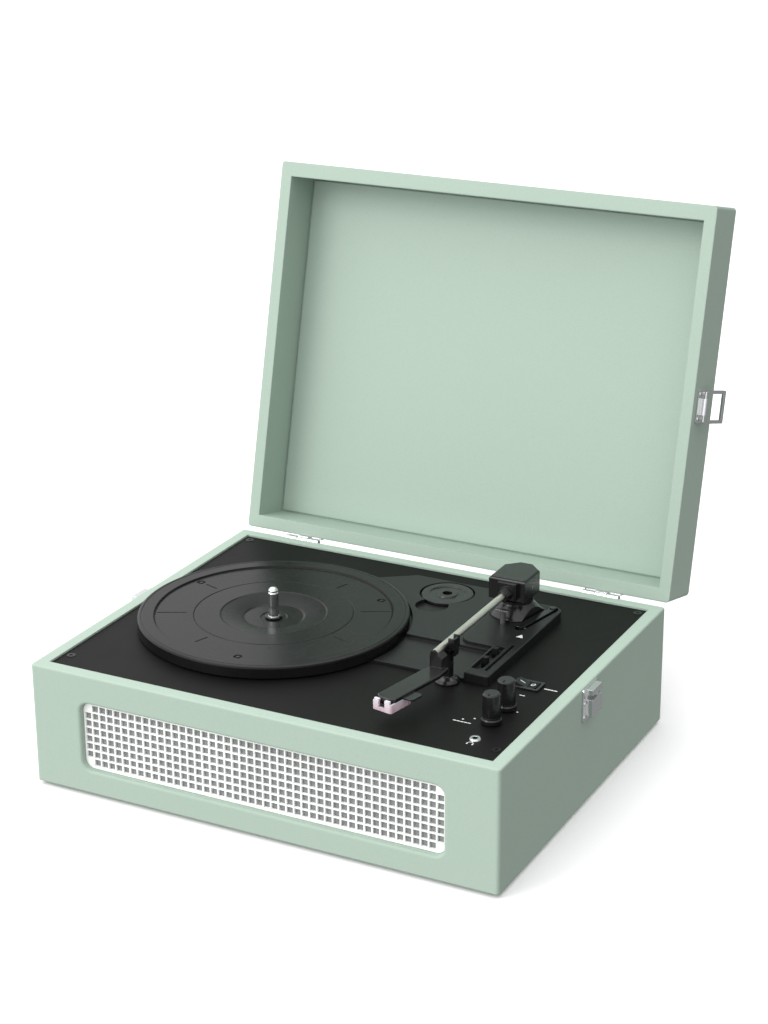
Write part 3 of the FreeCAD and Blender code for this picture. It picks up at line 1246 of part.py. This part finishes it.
def write_sound():
    put("speaker_grille", speaker_grille())
    put("grille_cloth", grille_cloth())
    put("speaker_baffle", speaker_baffle())
    put("speaker_frames", speaker_frames())
    put("speaker_cones", speaker_cones())
    put("speaker_magnets", speaker_magnets())
    put("amplifier_board", amplifier_board())
    put("phones_jack", phones_jack())
    put("jack_panel", jack_panel())
    put("line_out_jacks", line_out_jacks())
    put("aux_jack", aux_jack())
    put("power_inlet", power_inlet())


def write_controls():
    put("control_pots", control_pots())
    put("volume_knob", knob(VOLUME_Y))
    put("tone_knob", knob(TONE_Y))
    put("power_switch", power_switch())
    put("power_rocker", power_rocker())
    put("speed_lever", lever_post(SPEED_Y))
    put("stop_lever", lever_post(STOP_Y))


def write_drive():
    put("mechanism_plate", mechanism_plate())
    put("spindle", spindle())
    put("spindle_clip", spindle_clip())
    put("platter", platter())
    put("drive_motor", drive_motor())
    put("motor_pulley", motor_pulley())
    put("drive_belt", drive_belt())
    put("adapter_45", adapter_45())


def write_arm():
    put("arm_board", arm_board())
    put("arm_base", arm_base())
    put("arm_pivot", arm_pivot())
    put("arm_housing", arm_housing())
    put("tilt_axle", tilt_axle())
    put("counterweight", counterweight())
    put("arm_tube", arm_tube())
    put("headshell", headshell())
    put("cartridge", cartridge())
    put("stylus", stylus())
    put("stylus_guard", stylus_guard())
    put("arm_rest", arm_rest())
    put("arm_clip", arm_clip())
    put("cue_lever", cue_lever())
    put("lift_pin", lift_pin())


def write_lid():
    put("lid_shell", lid_shell())
    put("lid_lining", lid_lining())
    put("hinge_case_leaves", hinge_case_leaves())
    put("hinge_lid_leaves", hinge_lid_leaves())
    put("hinge_pins", hinge_pins())
    put("latch_plates", [open_lid(latch_plate()), open_lid(mirrored_x(latch_plate()))])
    put("right_bail", open_lid(latch_bail()))
    put("left_bail", open_lid(mirrored_x(latch_bail())))
    put("case_catches", [case_catch(), mirrored_x(case_catch())])
    put("handle_brackets", handle_brackets())
    put("carry_handle", carry_handle())


os.makedirs("parts", exist_ok=True)
write_case()
write_sound()
write_controls()
write_drive()
write_arm()
write_lid()
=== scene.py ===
import json
import math

import bmesh
import bpy
from mathutils import Matrix, Vector


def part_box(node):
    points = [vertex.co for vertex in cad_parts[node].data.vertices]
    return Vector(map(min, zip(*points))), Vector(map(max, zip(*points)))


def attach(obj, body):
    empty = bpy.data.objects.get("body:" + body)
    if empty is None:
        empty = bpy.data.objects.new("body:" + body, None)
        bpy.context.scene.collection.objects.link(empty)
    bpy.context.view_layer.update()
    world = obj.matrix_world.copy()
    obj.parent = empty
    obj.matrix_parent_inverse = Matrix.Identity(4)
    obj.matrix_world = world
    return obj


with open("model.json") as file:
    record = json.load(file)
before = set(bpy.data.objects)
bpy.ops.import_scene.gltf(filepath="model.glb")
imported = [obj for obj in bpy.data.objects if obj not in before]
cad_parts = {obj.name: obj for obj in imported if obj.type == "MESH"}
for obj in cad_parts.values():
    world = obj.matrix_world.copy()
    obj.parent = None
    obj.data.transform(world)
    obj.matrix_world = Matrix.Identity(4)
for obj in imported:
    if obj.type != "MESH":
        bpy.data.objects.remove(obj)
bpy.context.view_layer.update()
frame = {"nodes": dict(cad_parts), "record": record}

MM = 0.001

# Linear colours
SAGE = (0.345, 0.435, 0.37)
SAGE_LIGHT = (0.40, 0.495, 0.43)
SAGE_DARK = (0.25, 0.335, 0.275)
LINING = (0.36, 0.45, 0.385)
BLACK = (0.006, 0.006, 0.0065)
BLACK_SOFT = (0.008, 0.0082, 0.0088)
INK = (0.62, 0.64, 0.62)


# ---------------------------------------------------------------- shader helpers


class Shader:
    """A material's node tree with short calls for the nodes used here."""

    def __init__(self, name):
        self.mat = bpy.data.materials.new(name)
        self.mat.use_nodes = True
        self.tree = self.mat.node_tree
        self.bsdf = self.tree.nodes["Principled BSDF"]
        self.coords = self.tree.nodes.new("ShaderNodeTexCoord").outputs["Object"]

    def node(self, kind, **values):
        n = self.tree.nodes.new(kind)
        for key, value in values.items():
            setattr(n, key, value)
        return n

    def link(self, source, target):
        self.tree.links.new(source, target)

    def fill(self, socket, value):
        if isinstance(value, bpy.types.NodeSocket):
            self.link(value, socket)
        else:
            socket.default_value = value

    def mapping(self, scale):
        n = self.node("ShaderNodeMapping")
        self.link(self.coords, n.inputs["Vector"])
        n.inputs["Scale"].default_value = scale
        return n.outputs["Vector"]

    def noise(self, scale, detail=4.0, rough=0.55, vector=None, distortion=0.0):
        n = self.node("ShaderNodeTexNoise")
        self.link(vector or self.coords, n.inputs["Vector"])
        n.inputs["Scale"].default_value = scale
        n.inputs["Detail"].default_value = detail
        n.inputs["Roughness"].default_value = rough
        n.inputs["Distortion"].default_value = distortion
        return n.outputs["Fac"]

    def cells(self, scale, feature="SMOOTH_F1", smooth=0.35, vector=None):
        n = self.node("ShaderNodeTexVoronoi", feature=feature)
        self.link(vector or self.coords, n.inputs["Vector"])
        n.inputs["Scale"].default_value = scale
        if feature == "SMOOTH_F1":
            n.inputs["Smoothness"].default_value = smooth
        return n.outputs["Distance"]

    def maths(self, operation, a, b=0.0, clamp=False):
        n = self.node("ShaderNodeMath", operation=operation, use_clamp=clamp)
        self.fill(n.inputs[0], a)
        self.fill(n.inputs[1], b)
        return n.outputs[0]

    def ramp(self, source, low, high, out_low, out_high):
        n = self.node("ShaderNodeMapRange")
        self.link(source, n.inputs["Value"])
        limits = {"From Min": low, "From Max": high, "To Min": out_low, "To Max": out_high}
        for socket, value in limits.items():
            n.inputs[socket].default_value = value
        return n.outputs["Result"]

    def mix(self, factor, a, b):
        n = self.node("ShaderNodeMix", data_type="RGBA")
        self.fill(n.inputs["Factor"], factor)
        for socket, value in ((n.inputs[6], a), (n.inputs[7], b)):
            if isinstance(value, tuple):
                socket.default_value = (*value[:3], 1.0)
            else:
                self.link(value, socket)
        return n.outputs[2]

    def bump(self, height, strength, distance, normal=None):
        n = self.node("ShaderNodeBump")
        n.inputs["Strength"].default_value = strength
        n.inputs["Distance"].default_value = distance
        self.link(height, n.inputs["Height"])
        if normal is not None:
            self.link(normal, n.inputs["Normal"])
        return n.outputs["Normal"]

    def rounded(self, radius):
        """A normal that rounds the mesh's hard edges."""
        n = self.node("ShaderNodeBevel")
        n.samples = 4
        n.inputs["Radius"].default_value = radius
        return n.outputs["Normal"]

    def axes(self, x=0.0, y=0.0, z=0.0):
        """X, Y and Z in metres from a point."""
        n = self.node("ShaderNodeSeparateXYZ")
        self.link(self.coords, n.inputs[0])
        return [self.maths("SUBTRACT", n.outputs[i], v) for i, v in enumerate((x, y, z))]

    def radius(self, x, y):
        """Distance from an upright axis, in metres."""
        dx, dy, _ = self.axes(x, y)
        square_x = self.maths("MULTIPLY", dx, dx)
        square_y = self.maths("MULTIPLY", dy, dy)
        return self.maths("SQRT", self.maths("ADD", square_x, square_y))

    def done(self, colour=None, rough=None, metallic=None, normal=None, **plain):
        for name, value in (("Base Color", colour), ("Roughness", rough), ("Metallic", metallic)):
            if value is None:
                continue
            if isinstance(value, tuple):
                value = (*value[:3], 1.0)
            self.fill(self.bsdf.inputs[name], value)
        if normal is not None:
            self.link(normal, self.bsdf.inputs["Normal"])
        for name, value in plain.items():
            self.bsdf.inputs[name.replace("_", " ")].default_value = value
        return self.mat


# ---------------------------------------------------------------- materials


def leatherette(name, colour, light, dark, grain=1.0, rough=0.55):
    """Embossed vinyl cloth: fine pebbles with creases between them, and a faint blotchy tone."""
    s = Shader(name)
    warp = s.noise(90, 3)
    pebble = s.cells(1250, smooth=0.6)
    fine = s.cells(2900, smooth=0.5)
    crease = s.noise(700, 5, 0.65, distortion=0.6)
    height = s.maths("ADD", s.maths("MULTIPLY", pebble, 0.7), s.maths("MULTIPLY", fine, 0.35))
    height = s.maths("ADD", height, s.maths("MULTIPLY", crease, 0.45))
    blotch = s.ramp(s.noise(7, 2), 0.3, 0.7, 0.0, 1.0)
    base = s.mix(s.maths("MULTIPLY", blotch, 0.10), colour, light)
    base = s.mix(s.ramp(pebble, 0.3, 0.8, 0.0, 0.22), base, dark)
    roughness = s.maths(
        "ADD", s.ramp(crease, 0.3, 0.7, rough - 0.06, rough + 0.06), s.ramp(warp, 0.3, 0.7, -0.02, 0.02),
    )
    normal = s.bump(height, 0.16 * grain, 0.00018, s.rounded(0.0014))
    return s.done(base, roughness, normal=normal, Specular_IOR_Level=0.34)


def moulded(name, colour, rough, spark=0.3, edge=0.0006, coat=0.0, texture=1900.0, shine=0.3):
    """Moulded plastic: spark-eroded texture, slight flow mottling and rounded edges."""
    s = Shader(name)
    erode = s.noise(texture, 3, 0.6)
    flow = s.noise(22, 3, 0.5)
    base = s.mix(s.ramp(flow, 0.3, 0.7, 0.0, 1.0), colour, tuple(c * 1.25 + 0.001 for c in colour))
    roughness = s.maths(
        "ADD", s.ramp(flow, 0.3, 0.7, rough - 0.04, rough + 0.04), s.ramp(erode, 0.3, 0.7, -0.03, 0.03),
    )
    normal = s.bump(erode, spark, 0.00006, s.rounded(edge))
    return s.done(
        base, roughness, normal=normal, Coat_Weight=coat, Coat_Roughness=0.12, Specular_IOR_Level=shine,
    )


def turned_plastic(name, colour, rough, x, y, pitch=0.0006):
    """Black moulding with fine turned rings about an upright axis and a faint radial sheen."""
    s = Shader(name)
    r = s.radius(x, y)
    rings = s.maths("SINE", s.maths("MULTIPLY", r, 2 * math.pi / pitch))
    erode = s.noise(1500, 3, 0.6)
    flow = s.noise(18, 3)
    height = s.maths("ADD", s.maths("MULTIPLY", rings, 0.25), erode)
    base = s.mix(s.ramp(flow, 0.3, 0.7, 0.0, 1.0), colour, tuple(c * 1.4 + 0.002 for c in colour))
    roughness = s.maths(
        "ADD", s.ramp(flow, 0.3, 0.7, rough - 0.05, rough + 0.06), s.ramp(erode, 0.3, 0.7, -0.02, 0.02),
    )
    normal = s.bump(height, 0.22, 0.00005, s.rounded(0.0007))
    return s.done(base, roughness, normal=normal, Specular_IOR_Level=0.2)


def metal(name, colour, rough, brush=(1.0, 1.0, 1.0), strength=0.08, edge=0.0004):
    """Plated or drawn metal: directional fine scratches and smudges in the roughness."""
    s = Shader(name)
    scratch = s.noise(900, 4, 0.6, s.mapping(brush))
    smudge = s.noise(60, 4, 0.6)
    base = s.mix(s.ramp(scratch, 0.3, 0.7, 0.0, 0.5), colour, tuple(c * 0.78 for c in colour))
    roughness = s.maths(
        "ADD", s.ramp(scratch, 0.3, 0.7, rough * 0.7, rough * 1.35), s.ramp(smudge, 0.35, 0.7, 0.0, 0.08),
    )
    normal = s.bump(scratch, strength, 0.00003, s.rounded(edge))
    return s.done(base, roughness, 1.0, normal)


def woven(name, colour, pitch=0.0009, rough=0.85):
    """Plain-weave cloth in the X-Z plane, threads rising and falling in turn, with painted shade where they
    dip.
    """
    s = Shader(name)
    x, _, z = s.axes()
    k = math.pi / pitch
    a = s.maths("SINE", s.maths("MULTIPLY", x, k))
    b = s.maths("SINE", s.maths("MULTIPLY", z, k))
    weave = s.maths("MULTIPLY", a, b)
    fuzz = s.noise(2600, 3)
    # Painted shade: the low points of the weave are darkened to 0.6 of the cloth colour, the raised threads
    # keep the full colour.
    base = s.mix(s.ramp(weave, -1, 1, 0.0, 1.0), tuple(c * 0.6 for c in colour), colour)
    base = s.mix(s.ramp(fuzz, 0.3, 0.7, 0.0, 0.25), base, tuple(min(1, c * 1.5) for c in colour))
    normal = s.bump(s.maths("ADD", weave, fuzz), 0.4, 0.00012)
    return s.done(base, s.ramp(fuzz, 0.3, 0.7, rough - 0.06, rough + 0.06), normal=normal, Sheen_Weight=0.2)


def board(name, colour):
    """Pressed fibre board with short random fibres."""
    s = Shader(name)
    fibre = s.noise(260, 6, 0.7, s.mapping((1.0, 3.5, 2.0)), 1.2)
    tone = s.noise(30, 3)
    base = s.mix(s.ramp(fibre, 0.35, 0.65, 0.0, 1.0), tuple(c * 0.62 for c in colour), colour)
    base = s.mix(s.ramp(tone, 0.3, 0.7, 0.0, 0.3), base, tuple(c * 0.8 for c in colour))
    return s.done(base, s.ramp(fibre, 0.3, 0.7, 0.7, 0.9), normal=s.bump(fibre, 0.35, 0.0001))


def clear_guard(name):
    """Milky moulded plastic that lets some light through, pinker towards its lower edge."""
    s = Shader(name)
    low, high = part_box("stylus_guard")
    z = s.axes(z=low.z)[2]
    cloud = s.noise(160, 4)
    base = s.mix(s.ramp(z, 0.0, high.z - low.z, 1.0, 0.0), (0.80, 0.74, 0.80), (0.66, 0.42, 0.52))
    base = s.mix(s.ramp(cloud, 0.35, 0.65, 0.0, 0.5), base, (0.88, 0.86, 0.86))
    return s.done(
        base, s.ramp(cloud, 0.3, 0.7, 0.16, 0.3), normal=s.bump(cloud, 0.05, 0.0001, s.rounded(0.0005)),
        Transmission_Weight=0.25, Subsurface_Weight=0.2, Subsurface_Scale=0.004, IOR=1.49,
    )


def circuit(name):
    """Green varnished board with a fine pattern of tracks."""
    s = Shader(name)
    tracks = s.cells(420, "F1")
    base = s.mix(s.ramp(tracks, 0.25, 0.4, 0.0, 1.0), (0.02, 0.16, 0.07), (0.01, 0.09, 0.045))
    return s.done(base, s.ramp(tracks, 0.2, 0.6, 0.3, 0.45), normal=s.bump(tracks, 0.2, 0.00008))


def printed(name, colour):
    """Screen-printed ink, slightly worn."""
    s = Shader(name)
    wear = s.noise(1400, 4, 0.6)
    base = s.mix(s.ramp(wear, 0.35, 0.75, 0.0, 0.5), colour, tuple(c * 0.6 for c in colour))
    return s.done(base, s.ramp(wear, 0.3, 0.7, 0.45, 0.65), normal=s.bump(wear, 0.1, 0.00003))


def floor_paper(name):
    """Pale seamless paper with a trace of tooth."""
    s = Shader(name)
    tooth = s.noise(600, 3)
    base = s.mix(s.ramp(tooth, 0.3, 0.7, 0.0, 1.0), (0.93, 0.93, 0.93), (0.96, 0.96, 0.96))
    return s.done(base, s.ramp(tooth, 0.3, 0.7, 0.75, 0.85), normal=s.bump(tooth, 0.05, 0.0001))


platter_low, platter_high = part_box("platter")
spindle_x = (platter_low.x + platter_high.x) / 2
spindle_y = (platter_low.y + platter_high.y) / 2
along_tube = (1.0, 0.04, 1.0)

MATERIALS = {
    "leatherette": leatherette("leatherette", SAGE, SAGE_LIGHT, SAGE_DARK),
    "lining": leatherette("lining_leatherette", LINING, SAGE, SAGE_DARK, 0.9, 0.62),
    "board": board("fibre_board", (0.34, 0.22, 0.12)),
    "deck_black": moulded("deck_black", (0.0035, 0.0037, 0.0034), 0.5, 0.3, shine=0.1),
    "moulding_black": moulded("moulding_black", BLACK_SOFT, 0.36, 0.35, shine=0.25),
    "platter_black": turned_plastic("platter_black", (0.005, 0.005, 0.0052), 0.25, spindle_x, spindle_y),
    "gloss_black": moulded("gloss_black", BLACK, 0.22, 0.1, 0.0006, 0.1, shine=0.4),
    "screw_black": moulded("screw_black", BLACK, 0.3, 0.1, 0.0002),
    "grille_white": moulded("grille_white", (0.78, 0.79, 0.77), 0.5, 0.2, 0.0004),
    "cloth": woven("speaker_cloth", (0.24, 0.25, 0.25)),
    "bright": metal("bright_plate", (0.7, 0.71, 0.72), 0.12),
    "steel": metal("steel", (0.3, 0.3, 0.31), 0.32, (1.0, 1.0, 0.15), 0.15),
    "tube_metal": metal("tube_metal", (0.74, 0.72, 0.66), 0.3, along_tube, 0.12),
    "motor_steel": metal("motor_steel", (0.42, 0.42, 0.43), 0.35, (1.0, 1.0, 0.2), 0.15),
    "pulley_brass": metal("pulley_brass", (0.75, 0.56, 0.25), 0.25, (1.0, 1.0, 6.0), 0.12),
    "belt_rubber": moulded("belt_rubber", (0.02, 0.02, 0.02), 0.75, 0.4, 0.0002),
    "foot_rubber": moulded("foot_rubber", (0.03, 0.03, 0.03), 0.8, 0.5, 0.0006),
    "circuit": circuit("circuit"),
    "cone_paper": woven("cone_paper", (0.1, 0.1, 0.1), 0.0016),
    "magnet": moulded("magnet", (0.07, 0.07, 0.075), 0.6, 0.5),
    "guard_white": clear_guard("guard_plastic"),
    "stylus_red": moulded("stylus_red", (0.55, 0.02, 0.03), 0.25, 0.1, 0.0003, 0.3),
}

slot_of = {p["node"]: p["material_slot"] for p in frame["record"]["subparts"]}
for node_name, obj in frame["nodes"].items():
    material = MATERIALS[slot_of[node_name]]
    if not obj.material_slots:
        obj.data.materials.append(material)
    for material_slot in obj.material_slots:
        material_slot.material = material


# ---------------------------------------------------------------- mesh helpers


def make_object(name, mesh_bm, material, body, smooth=True):
    mesh = bpy.data.meshes.new(name)
    bmesh.ops.recalc_face_normals(mesh_bm, faces=mesh_bm.faces)
    mesh_bm.to_mesh(mesh)
    mesh_bm.free()
    if smooth:
        for face in mesh.polygons:
            face.use_smooth = True
    obj = bpy.data.objects.new(name, mesh)
    bpy.context.scene.collection.objects.link(obj)
    mesh.materials.append(material)
    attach(obj, body)
    return obj


def add_plate(bm, outline, low, high):
    """A thin closed plate over a flat outline of (x, y) points, from height low to high."""
    bottom = [bm.verts.new((x, y, low)) for x, y in outline]
    top = [bm.verts.new((x, y, high)) for x, y in outline]
    bm.faces.new(list(reversed(bottom)))
    bm.faces.new(top)
    count = len(outline)
    for i in range(count):
        j = (i + 1) % count
        bm.faces.new((bottom[i], bottom[j], top[j], top[i]))


def bar_outline(x0, y0, x1, y1, width, steps=5):
    """A round-ended bar between two points."""
    heading = math.atan2(y1 - y0, x1 - x0)
    r = width / 2
    points = []
    for cx, cy, start in ((x1, y1, heading - math.pi / 2), (x0, y0, heading + math.pi / 2)):
        for i in range(steps + 1):
            a = start + math.pi * i / steps
            points.append((cx + r * math.cos(a), cy + r * math.sin(a)))
    return points


def arc_points(cx, cy, r, a0, a1, steps):
    """Points along an arc from angle a0 to a1, both ends included."""
    points = []
    for i in range(steps + 1):
        a = a0 + (a1 - a0) * i / steps
        points.append((cx + r * math.cos(a), cy + r * math.sin(a)))
    return points


def ring_sector(cx, cy, r_in, r_out, a0, a1, steps=16):
    return arc_points(cx, cy, r_out, a0, a1, steps) + arc_points(cx, cy, r_in, a1, a0, steps)


def disc_outline(cx, cy, r, steps=20):
    return arc_points(cx, cy, r, 0.0, 2 * math.pi, steps)[:-1]


# ---------------------------------------------------------------- printed marks on the deck

ink = printed("printed_ink", INK)
deck_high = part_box("deck_plate")[1]
jack_low, jack_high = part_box("phones_jack")
volume_low, volume_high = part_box("volume_knob")
tone_low, tone_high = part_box("tone_knob")
switch_low, switch_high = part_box("power_switch")
board_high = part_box("arm_board")[1]
INK_T = 0.06 * MM
INK_SUNK = 0.01 * MM
ROCKER_TIP_DEG = 7.0


def deck_marks():
    """Dashes, dots and a headphone sign beside the controls."""
    bm = bmesh.new()
    z = deck_high.z
    jack_x = (jack_low.x + jack_high.x) / 2
    jack_y = (jack_low.y + jack_high.y) / 2
    knob_x = (volume_low.x + volume_high.x) / 2

    def bar(x0, y0, x1, y1, width=0.9 * MM):
        add_plate(bm, bar_outline(x0, y0, x1, y1, width), z - INK_SUNK, z + INK_T)

    def arc(cx, cy, r, a0, a1, width=0.6 * MM):
        half = width / 2
        outline = ring_sector(cx, cy, r - half, r + half, math.radians(a0), math.radians(a1))
        add_plate(bm, outline, z - INK_SUNK, z + INK_T)

    def dot(x, y):
        add_plate(bm, disc_outline(x, y, 0.75 * MM, 12), z - INK_SUNK, z + INK_T)

    cy = (volume_low.y + volume_high.y) / 2
    tone_y = (tone_low.y + tone_high.y) / 2
    dot(knob_x - 12.2 * MM, cy + 1.0 * MM)
    dot(knob_x - 18.6 * MM, cy - 3.0 * MM)
    dot(knob_x + 8.4 * MM, tone_y - 1.0 * MM)
    for i in range(5):
        start = knob_x - (23.6 - 2.6 * i) * MM
        bar(start, cy - 6.8 * MM, start + 1.5 * MM, cy - 6.8 * MM, 1.0 * MM)
    for i in range(4):
        start = switch_high.x + (2.2 + 2.3 * i) * MM
        bar(start, switch_low.y + 7.4 * MM, start + 1.4 * MM, switch_low.y + 7.4 * MM, 1.2 * MM)
    for i in range(2):
        start = knob_x - (0.6 - 2.0 * i) * MM
        bar(start, switch_low.y - 8.4 * MM, start + 1.1 * MM, switch_low.y - 8.4 * MM, 0.9 * MM)
    icon_x = jack_x - 0.3 * MM
    icon_y = jack_y - 6.9 * MM
    arc(icon_x, icon_y, 1.9 * MM, 0, 180, 0.55 * MM)
    for side in (-1, 1):
        ear_x = icon_x + side * 1.9 * MM
        bar(ear_x, icon_y - 1.2 * MM, ear_x, icon_y - 0.1 * MM, 0.9 * MM)
    make_object("deck_marks", bm, ink, "case", False)


def board_marks():
    """A pointer beside the cue lever's channel on the arm board."""
    bm = bmesh.new()
    z = board_high.z
    x = board_high.x - 8.0 * MM
    y = board_high.y - 59.5 * MM
    pointer = [(x - 2.6 * MM, y - 2.0 * MM), (x + 2.6 * MM, y - 2.0 * MM), (x, y + 3.2 * MM)]
    add_plate(bm, pointer, z - INK_SUNK, z + INK_T)
    make_object("board_marks", bm, ink, "case", False)


def rocker_marks():
    """The usual on and off signs, tipped with the rocker's two faces."""
    bm = bmesh.new()
    low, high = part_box("power_switch")
    pivot = Vector(((low.x + high.x) / 2, (low.y + high.y) / 2, deck_high.z - 0.6 * MM))
    tip = Matrix.Rotation(math.radians(ROCKER_TIP_DEG), 4, "Y")
    face_lean = math.atan2(2.1, 7.2)

    def place(points, side):
        lean = Matrix.Rotation(-side * face_lean, 4, "Y")
        lay = Matrix.Translation((side * 3.8 * MM, 0, 2.61 * MM)) @ lean
        whole = Matrix.Translation(pivot) @ tip @ lay
        return [bm.verts.new(whole @ Vector(point)) for point in points]

    for side in (-1, 1):
        if side < 0:
            outline = bar_outline(-1.7 * MM, 0, 1.7 * MM, 0, 0.7 * MM)
        else:
            outline = ring_sector(0, 0, 1.1 * MM, 1.75 * MM, 0.0, 2 * math.pi - 0.02, 24)
        bottom = place([(x, y, -0.02 * MM) for x, y in outline], side)
        top = place([(x, y, INK_T) for x, y in outline], side)
        bm.faces.new(list(reversed(bottom)))
        bm.faces.new(top)
        count = len(outline)
        for i in range(count):
            j = (i + 1) % count
            bm.faces.new((bottom[i], bottom[j], top[j], top[i]))
    make_object("rocker_marks", bm, ink, "rocker", False)


deck_marks()
board_marks()
rocker_marks()


# ---------------------------------------------------------------- studio

CASE_SHIFT_Y = -59.0
CAMERA_AZ = math.radians(27.4)
CAMERA_EL = math.radians(20.7)
CAMERA_ROLL = math.radians(-0.35)
CAMERA_DISTANCE = 1607.6
CAMERA_SIDE = 19.77
CAMERA_RISE = 167.2
LENS = 79.58

SKY_TOWARD = (-0.55, -0.45, 0.7)
SKY_DIM = 0.34
SKY_BRIGHT = 1.75
KEY_POWER = 30.0
TOP_POWER = 13.0
FLOOR_HALF = 14.0
FLOOR_DROP = 0.0002


def place_camera():
    level = math.cos(CAMERA_EL)
    back = Vector((math.sin(CAMERA_AZ) * level, -math.cos(CAMERA_AZ) * level, math.sin(CAMERA_EL)))
    right = Vector((math.cos(CAMERA_AZ), math.sin(CAMERA_AZ), 0.0))
    up = back.cross(right)
    eye = right * CAMERA_SIDE + up * CAMERA_RISE + back * CAMERA_DISTANCE + Vector((0, CASE_SHIFT_Y, 3.0))
    c, s_ = math.cos(CAMERA_ROLL), math.sin(CAMERA_ROLL)
    side = right * c + up * s_
    rise = up * c - right * s_
    data = bpy.data.cameras.new("camera")
    data.lens = LENS
    data.sensor_width = 36.0
    data.clip_start = 0.05
    data.clip_end = 50.0
    camera = bpy.data.objects.new("camera", data)
    turn = Matrix((side, rise, back)).transposed().to_4x4()
    camera.matrix_world = Matrix.Translation(eye * MM) @ turn
    bpy.context.scene.collection.objects.link(camera)
    bpy.context.scene.camera = camera


def softbox(name, place, target, width, height, power, colour=(1.0, 1.0, 1.0)):
    data = bpy.data.lights.new(name, "AREA")
    data.shape = "RECTANGLE"
    data.size = width
    data.size_y = height
    data.energy = power
    data.color = colour
    light = bpy.data.objects.new(name, data)
    light.location = place
    light.rotation_mode = "QUATERNION"
    light.rotation_quaternion = (Vector(target) - Vector(place)).to_track_quat("-Z", "Y")
    bpy.context.scene.collection.objects.link(light)


def studio():
    bm = bmesh.new()
    ends = ((-1, -1), (1, -1), (1, 1), (-1, 1))
    bm.faces.new([bm.verts.new((FLOOR_HALF * x, FLOOR_HALF * y, 0.0)) for x, y in ends])
    mesh = bpy.data.meshes.new("floor")
    bm.to_mesh(mesh)
    bm.free()
    floor = bpy.data.objects.new("floor", mesh)
    floor.location.z = -FLOOR_DROP
    bpy.context.scene.collection.objects.link(floor)
    mesh.materials.append(floor_paper("floor_paper"))
    # The floor throws no light back and isn't mirrored, so the sides turned from the key stay dark.
    floor.visible_diffuse = False
    floor.visible_glossy = False

    world = bpy.data.worlds.new("studio")
    world.use_nodes = True
    tree = world.node_tree
    background = tree.nodes["Background"]
    background.inputs["Color"].default_value = (1.0, 1.0, 1.0, 1.0)
    heading = tree.nodes.new("ShaderNodeTexCoord")
    toward = tree.nodes.new("ShaderNodeVectorMath")
    toward.operation = "DOT_PRODUCT"
    toward.inputs[1].default_value = Vector(SKY_TOWARD).normalized()
    tree.links.new(heading.outputs["Generated"], toward.inputs[0])
    fade = tree.nodes.new("ShaderNodeMapRange")
    fade.interpolation_type = "SMOOTHSTEP"
    limits = {"From Min": -0.75, "From Max": 0.95, "To Min": SKY_DIM, "To Max": SKY_BRIGHT}
    for name, value in limits.items():
        fade.inputs[name].default_value = value
    tree.links.new(toward.outputs["Value"], fade.inputs["Value"])
    tree.links.new(fade.outputs["Result"], background.inputs["Strength"])
    bpy.context.scene.world = world
    bpy.context.scene.view_settings.view_transform = "Standard"

    middle = (0.0, 0.0, 0.12)
    softbox("key", (-1.4, -2.1, 1.9), middle, 1.4, 1.4, KEY_POWER)
    softbox("top", (-0.3, 0.5, 2.4), middle, 2.0, 1.6, TOP_POWER)


place_camera()
studio()
